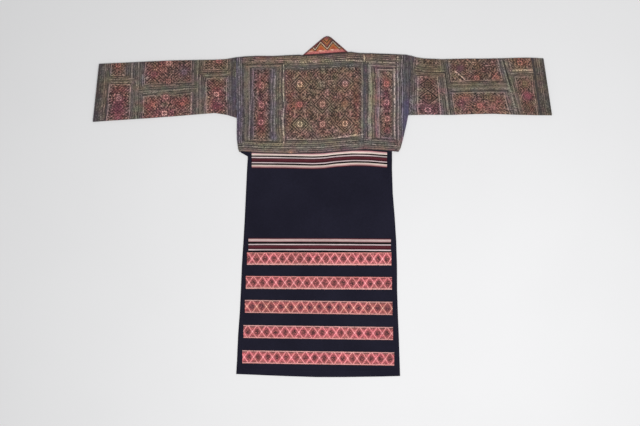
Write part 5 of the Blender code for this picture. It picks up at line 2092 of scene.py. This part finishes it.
@dataclass
class Tail:
    """Long indigo panel, sewn under the back's hem and hemmed at its sides and foot."""

    strips: tuple["Strips", ...]
    step: float = 3.2
    row_gap: float = 0.8
    columns: int = 112
    side_marks: tuple[float, ...] = (0.0, 0.8, 2.4, 5.2, 8.0, 8.6, 9.2)
    foot_marks: tuple[float, ...] = (16.2, 15.6, 15.0, 12.0, 9.0, 6.0, 3.0, 1.0, 0.0)
    edge_drop: float = 0.45
    edge_reach: float = 1.2
    stitch_length: float = 2.6
    stitch_step: float = 5.2
    stitch_jog: float = 0.3
    stitched_up: tuple[float, float] = (-384.0, 84.0)
    stitched_across: tuple[float, float] = (-188.0, 170.0)
    side_line: float = 6.6
    foot_line: float = 13.2
    cut: Cut = Cut(395.0, 551.0, 0.96)

    def make_panel(self) -> Piece:
        """Make the panel, with a plain flat under face.

        Returns:
            The panel.
        """
        marks = np.array(self.side_marks)
        hem = marks[-1]
        inner = np.linspace(0.0, 1.0, self.columns)[1:-1]
        zone = np.repeat([-1, 0, 1], [len(marks), len(inner), len(marks)])[None, :]
        value = np.concatenate([marks, inner, marks[::-1]])[None, :]
        height = TAIL.top - TAIL.foot[0].value
        low = height - np.array(self.foot_marks)
        ramp = TAIL.top - np.array([TAIL.ramp_top, TAIL.ramp_foot])
        even = np.arange(0.0, low[0] - 1.0, self.step)
        even = even[np.abs(even[:, None] - ramp).min(axis=1) > self.row_gap]
        down = np.sort(np.concatenate([even, ramp, low]))[:, None]
        side_y = TAIL.top - down
        left, right = read(TAIL.left, side_y), read(TAIL.right, side_y)
        x = mix(left + hem, right - hem, value)
        x = np.where(zone < 0, left + value, x)
        x = np.where(zone > 0, right - value, x)
        y = side_y + (read(TAIL.foot, x) - TAIL.foot[0].value) * ease(down / height)
        edge = np.minimum(np.minimum(x - left, right - x), height - down)
        z = TAIL.face(x, y) - self.edge_drop * (1.0 - ease(edge / self.edge_reach))
        fabric = Fabric("tail_cloth")
        outer = fabric.add(x, y, z)
        fabric.grid(outer, 0)
        loop = edge_loop(outer)
        under = fabric.add(edge_loop(x), edge_loop(y), TAIL.bottom(edge_loop(y)))
        fabric.grid(np.stack([loop, under]), 0, ring=True)
        lookup = dict(zip(loop.tolist(), under.tolist()))
        last_row = len(down) - 1
        cuts = [int(np.argmin(np.abs(down[:, 0] - place))) for place in ramp]
        for first, last in zip([0, *cuts], [*cuts, last_row]):
            start = outer[0, 1:-1] if first == 0 else outer[0, :0]
            end = outer[-1, -2:0:-1] if last == last_row else outer[0, :0]
            sides = outer[first : last + 1, -1], outer[first : last + 1, 0][::-1]
            corners = np.concatenate([start, sides[0], end, sides[1]])
            fabric.face(np.array([lookup[int(corner)] for corner in corners]), 0)
        return fabric.finish(INDIGO)

    def make_stitches(self) -> Piece:
        """Make the running stitches of the hems, as one joined piece.

        Returns:
            The stitches.
        """
        fabric = Fabric("tail_hem_stitches")
        lines = []
        for place in np.arange(*self.stitched_up, self.stitch_step):
            lines.append((float(read(TAIL.left, place)) + self.side_line, place, 0.0, 1.0))
            lines.append((float(read(TAIL.right, place)) - self.side_line, place, 0.0, 1.0))
        for place in np.arange(*self.stitched_across, self.stitch_step):
            lines.append((place, float(read(TAIL.foot, place)) + self.foot_line, 1.0, 0.0))
        ring = np.linspace(0.0, 2.0 * math.pi, 6, endpoint=False)[None, :]
        half, thick, arch = (np.array(column)[:, None] for column in zip(*STITCH_RINGS))
        half = half * self.stitch_length
        for x, y, run_x, run_y in lines:
            jog = self.stitch_jog * math.sin(x * 3.1 + y * 1.7)
            side = thick * np.cos(ring) + jog
            px = x + run_x * half + run_y * side
            py = y + run_y * half + run_x * side
            index = fabric.add(px, py, TAIL.face(px, py) + arch + thick * np.sin(ring) + 0.05)
            fabric.grid(index, 0, ring=True)
            fabric.face(index[0], 0)
            fabric.face(index[-1][::-1], 0)
        return fabric.finish(HEM_THREAD)

    def build(self) -> list[Piece]:
        """Returns:
            The pieces.
        """
        trim = [piece for group in self.strips for piece in group.build()]
        stitches = declare(self.make_stitches(), "indigo_cloth")
        panel = declare(self.make_panel(), "indigo_cloth", "tail_panel")
        self.cut.declare(panel, (), (stitches, *trim))
        return [*trim, stitches, panel]


@dataclass
class Trim:
    """Strip of cloth that lies on the tail, with a plain back."""

    name: str
    cloth: float
    finishes: tuple[Finish, ...]
    edge_drop: float = 0.3

    def make(self, x: Array, y: Array, lift: Array, colour: Array) -> Piece:
        """Make the strip.

        Args:
            x: Places across the tail, in rows from the strip's top edge to its foot.
            y: Places up the tail, in the same rows.
            lift: What the face stands proud of the cloth's even thickness.
            colour: Thread colours of the cells.

        Returns:
            The strip.
        """
        low = TAIL.face(x, y) + SEAM_GAP
        fabric = Fabric(self.name)
        edge = np.zeros((len(y), 1))
        edge[[0, -1]] = self.edge_drop * self.cloth
        outer = fabric.add(x, y, low + self.cloth - edge + lift)
        back = fabric.add(x[[0, -1]], y[[0, -1]], low[[0, -1]])
        plain = len(self.finishes) - 1
        fabric.grid(outer, 0, colour)
        pairs = ((back[0], outer[0]), (outer[-1], back[1]), (back[1], back[0]))
        for pair, shown in zip(pairs, (colour[0], colour[-1], colour[-1])):
            fabric.grid(np.stack(pair), plain, shown)
        for column in (0, -1):
            corners = np.concatenate([outer[:, column], back[::-1, column]])
            fabric.face(corners, plain, colour[len(colour) // 2, column])
        return fabric.finish(*self.finishes)


class StripDyeAndShade(Enum):
    """Kinds of narrow strip: slot, finish, and colours at shares of the way to its foot. The colours are the
    strips' dyes with painted shade: most grow darker towards the edges where the strips fold and meet.
    """

    ROSE = ("rose_strip", RIBBON, "0 146 76 88, .22 204 148 154, .5 226 194 188, .8 236 218 207")
    ROSE_FOOT = ("rose_strip", RIBBON, "0 226 208 196, .35 222 200 190, .6 200 156 154, 1 150 102 106")
    ROSE_LOWER = ("rose_strip", RIBBON, "0 156 104 108, .3 208 182 178, .7 196 168 166, 1 134 74 82")
    CREAM = ("cream_strip", RIBBON, "0 188 168 170, .4 228 208 208, 1 190 170 174")
    MAROON = ("maroon_strip", TAPE, "0 52 20 26, .3 94 42 50, .6 80 33 42, 1 54 18 26")
    BLACK = ("black_strip", TAPE, "0 18 14 14, .5 12 10 10, 1 20 14 16")

    def colours(self, share: Array, x: Array, number: int) -> Array:
        """Colours of a strip's cells: its dye, with painted shade towards its edges.

        Args:
            share: Place of each cell from the strip's top edge to its foot.
            x: Place of each cell across the tail.
            number: Number of the strip from the top.

        Returns:
            The colours, in linear light.
        """
        # The tones across the strip are its dye with painted shade, mostly darker where it folds at its
        # edges.
        tones = written(lambda place, *colour: (place, as_linear(colour)), self.value[2])
        places, parts = zip(*tones)
        dyed = np.stack([np.interp(share, places, part) for part in zip(*parts)], axis=-1)
        slow = drift(x, 0.0, 46.0, Seed.DYE + number)
        grey = clipped(drift(x, 0.0, 70.0, Seed.GREY + number) * 2.0 - 1.1)
        fleck = drift(x, share * 30.0, 5.0, Seed.FLECK + number)
        dyed = dyed * (0.78 + 0.26 * slow + 0.14 * fleck)[..., None]
        if self is StripDyeAndShade.CREAM:
            dyed = mix(dyed, np.array(as_linear((136, 134, 130))), 0.75 * grey[..., None])
        return dyed


@dataclass
class Strips:
    """Group of narrow strips, one below the other, that follow a line across the tail."""

    prefix: str
    widths: tuple[tuple[float, StripDyeAndShade], ...]
    line: Table
    under_hem: bool = False
    cloth: float = 0.6
    step: float = 2.4
    row_step: float = 0.9
    soften: float = 6.0
    hem_gap: float = 1.3
    waver: float = 0.25
    pucker: float = 0.16
    crown: float = 0.14

    def build(self) -> list[Piece]:
        """Returns:
            The strips, from the top.
        """
        pieces = []
        down = 0.0
        first, last = self.line[0].place, self.line[-1].place
        count = len(np.arange(first, last + 0.01, self.step))
        x = np.linspace(first, last, count)[None, :]
        for number, (width, dye_and_shade) in enumerate(self.widths, start=1):
            share = np.linspace(0.0, 1.0, max(3, int(round(width / self.row_step)) + 1))[:, None]
            waver = self.waver * (drift(x, 0.0, 17.0, Seed.STRIP_EDGE + number) - 0.5)
            y = read(self.line, x, self.soften) - down - waver - share * (width - SEAM_GAP)
            if self.under_hem:
                y = np.minimum(y, read(UPPER.hem, x) - self.hem_gap + 0.0 * y)
            places = x + 0.0 * y
            lift = self.pucker * (drift(places, y, 3.6, Seed.STRIP_PUCKER + number) - 0.5)
            lift = lift + self.crown * np.sin(math.pi * share)
            slot, finish, _ = dye_and_shade.value
            colour = dye_and_shade.colours(between(share + 0.0 * x), between(places), number)
            name = f"{self.prefix}_{number}"
            piece = Trim(name + "_cloth", self.cloth, (finish,)).make(places, y, lift, colour)
            pieces.append(declare(piece, slot, name))
            down += width
        return pieces


UPPER_STRIPS = Strips(
    "upper_strip",
    (
        (7.0, StripDyeAndShade.ROSE), (3.1, StripDyeAndShade.BLACK), (3.1, StripDyeAndShade.CREAM), (9.6, StripDyeAndShade.MAROON),
        (2.7, StripDyeAndShade.CREAM), (3.6, StripDyeAndShade.BLACK), (6.5, StripDyeAndShade.ROSE_FOOT), (1.9, StripDyeAndShade.MAROON),
    ),
    written(Pair, "-169.3 129.6, -102 129, -22 127.2, 4 128.2, 31 131.8, 71 134.6, 111 134, 154.5 130.4"),
    under_hem=True,
)
LOWER_STRIPS = Strips(
    "lower_strip",
    (
        (1.6, StripDyeAndShade.MAROON), (7.5, StripDyeAndShade.ROSE_LOWER), (4.8, StripDyeAndShade.BLACK), (3.0, StripDyeAndShade.CREAM),
        (9.6, StripDyeAndShade.MAROON), (3.3, StripDyeAndShade.CREAM), (3.2, StripDyeAndShade.BLACK),
    ),
    written(Pair, "-177.2 -75, 0 -75.2, 163.8 -76.4"),
)


class Strip(NamedTuple):
    """Place of a patterned band, with the middle of its first diamond and their width."""

    left: float
    right: float
    left_top: float
    left_foot: float
    right_top: float
    right_foot: float
    start: float
    step: float


@dataclass
class Bands:
    """Five patterned bands across the lower tail."""

    places: tuple[Strip, ...] = written(Strip, """
        -180.6 164.8 -109.2 -138.9 -109.2 -140.3 -158 20.8,
        -183.4 166.2 -165.5 -196.3 -168.1 -198.5 -165 21.4,
        -185.6 167.4 -222.7 -254 -227.2 -259.5 -169 23.2,
        -188.9 168.8 -283 -314.3 -287.8 -319.3 -178.6 22.2,
        -191.6 171.7 -343.5 -374.9 -348.3 -380.6 -175.9 22.5""")
    cloth: float = 0.9
    ragged: float = 0.35
    pucker: float = 0.25

    def build(self) -> list[Piece]:
        """Returns:
            The bands, from the top.
        """
        pieces = []
        for number, place in enumerate(self.places, start=1):
            height = place.left_top - place.left_foot
            down = stops(0.0, height, BAND_PITCH)[:, None]
            x = stops(place.left, place.right, BAND_PITCH)[None, :] + 0.0 * down
            part = (x - place.left) / (place.right - place.left)
            top = mix(place.left_top, place.right_top, part)
            foot = mix(place.left_foot, place.right_foot, part)
            y = mix(top, foot, down / height)
            ragged = self.ragged * (drift(x, 0.0, 5.0, Seed.BAND_EDGE + number) - 0.5)
            y = y + ragged * (down / height - 0.5) * 2.0
            lattice = Lattice(place.start, place.step, height, number)
            work = lattice.work(between(x), between(down + 0.0 * x))
            pucker = self.pucker * (drift(x, y, 7.0, Seed.BAND_PUCKER + number) - 0.5)
            name = f"band_{number}"
            trim = Trim(name + "_cloth", self.cloth, (BAND_WORK, LINING))
            piece = trim.make(x, y, at_corners(work.relief) + pucker, work.colour)
            pieces.append(declare(piece, "lattice_band", name))
            Cut(place.right - place.left, height).declare(piece, ("tail_cloth",))
        return pieces


# Studio


@dataclass
class Studio:
    """Pale table, soft light from above and the camera over the jacket."""

    height: float = 2.130
    aim: tuple[float, float] = (-0.0059, -0.0150)
    lens: float = 50.0
    sensor: float = 36.0
    table: float = 9.0
    table_drop: float = 0.0002
    table_colour: tuple[int, int, int] = (235, 235, 236)
    sky: float = 0.35
    lamp_place: tuple[float, float, float] = (0.45, -0.55, 2.3)
    lamp_size: float = 1.4
    lamp_power: float = 44.0

    def build(self) -> None:
        """Make the table, the light, the sky and the camera."""
        self.lay_table()
        self.hang_light()
        world = bpy.data.worlds.new("studio")
        world.use_nodes = True
        background = world.node_tree.nodes["Background"]
        background.inputs["Color"].default_value = (1.0, 1.0, 1.0, 1.0)
        background.inputs["Strength"].default_value = self.sky
        bpy.context.scene.world = world
        camera = bpy.data.cameras.new("camera")
        camera.lens = self.lens
        camera.sensor_width = self.sensor
        camera.dof.use_dof = False
        eye = self.place("camera", camera, (*self.aim, self.height))
        bpy.context.scene.camera = eye
        bpy.context.scene.view_settings.view_transform = "Standard"

    def place(self, name: str, data: bpy.types.ID, place: tuple[float, float, float]) -> Piece:
        """Put something in the scene.

        Args:
            name: Its name.
            data: What it is made of.
            place: Where it goes.

        Returns:
            The object.
        """
        item = bpy.data.objects.new(name, data)
        item.location = place
        bpy.context.scene.collection.objects.link(item)
        return item

    def lay_table(self) -> None:
        """Make the table, just under the jacket; it is not attached to the body."""
        nodes = Nodes("table_paper")
        tone = nodes.spread(nodes.noise(3.0, 2.0), 0.99, 1.01)
        surface = nodes.dress(nodes.scaled(as_linear(self.table_colour), tone), 0.9, 0.0)
        mesh = bpy.data.meshes.new("table")
        half = self.table / 2.0
        corners = [(-half, -half, 0.0), (half, -half, 0.0), (half, half, 0.0), (-half, half, 0.0)]
        mesh.from_pydata(corners, [], [(0, 1, 2, 3)])
        mesh.materials.append(surface)
        table = self.place("table", mesh, (0.0, 0.0, -self.table_drop))

    def hang_light(self) -> None:
        """Add a soft square light that faces the jacket."""
        lamp = bpy.data.lights.new("window", "AREA")
        lamp.size = self.lamp_size
        lamp.energy = self.lamp_power
        item = self.place("window", lamp, self.lamp_place)
        item.rotation_euler = (-Vector(self.lamp_place)).to_track_quat("-Z", "Y").to_euler()


def main() -> None:
    """Build the jacket and the studio."""
    logging.basicConfig(level=logging.INFO, format="%(message)s")
    band = NeckBand()
    parts = (Fronts(band), band, Back(), Sleeves(), Tail((UPPER_STRIPS, LOWER_STRIPS)), Bands())
    for part in parts:
        for piece in part.build():
            LOG.info("%s: %d faces", piece.name, len(piece.data.polygons))
    Studio().build()
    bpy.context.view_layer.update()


if __name__ == "__main__":
    main()
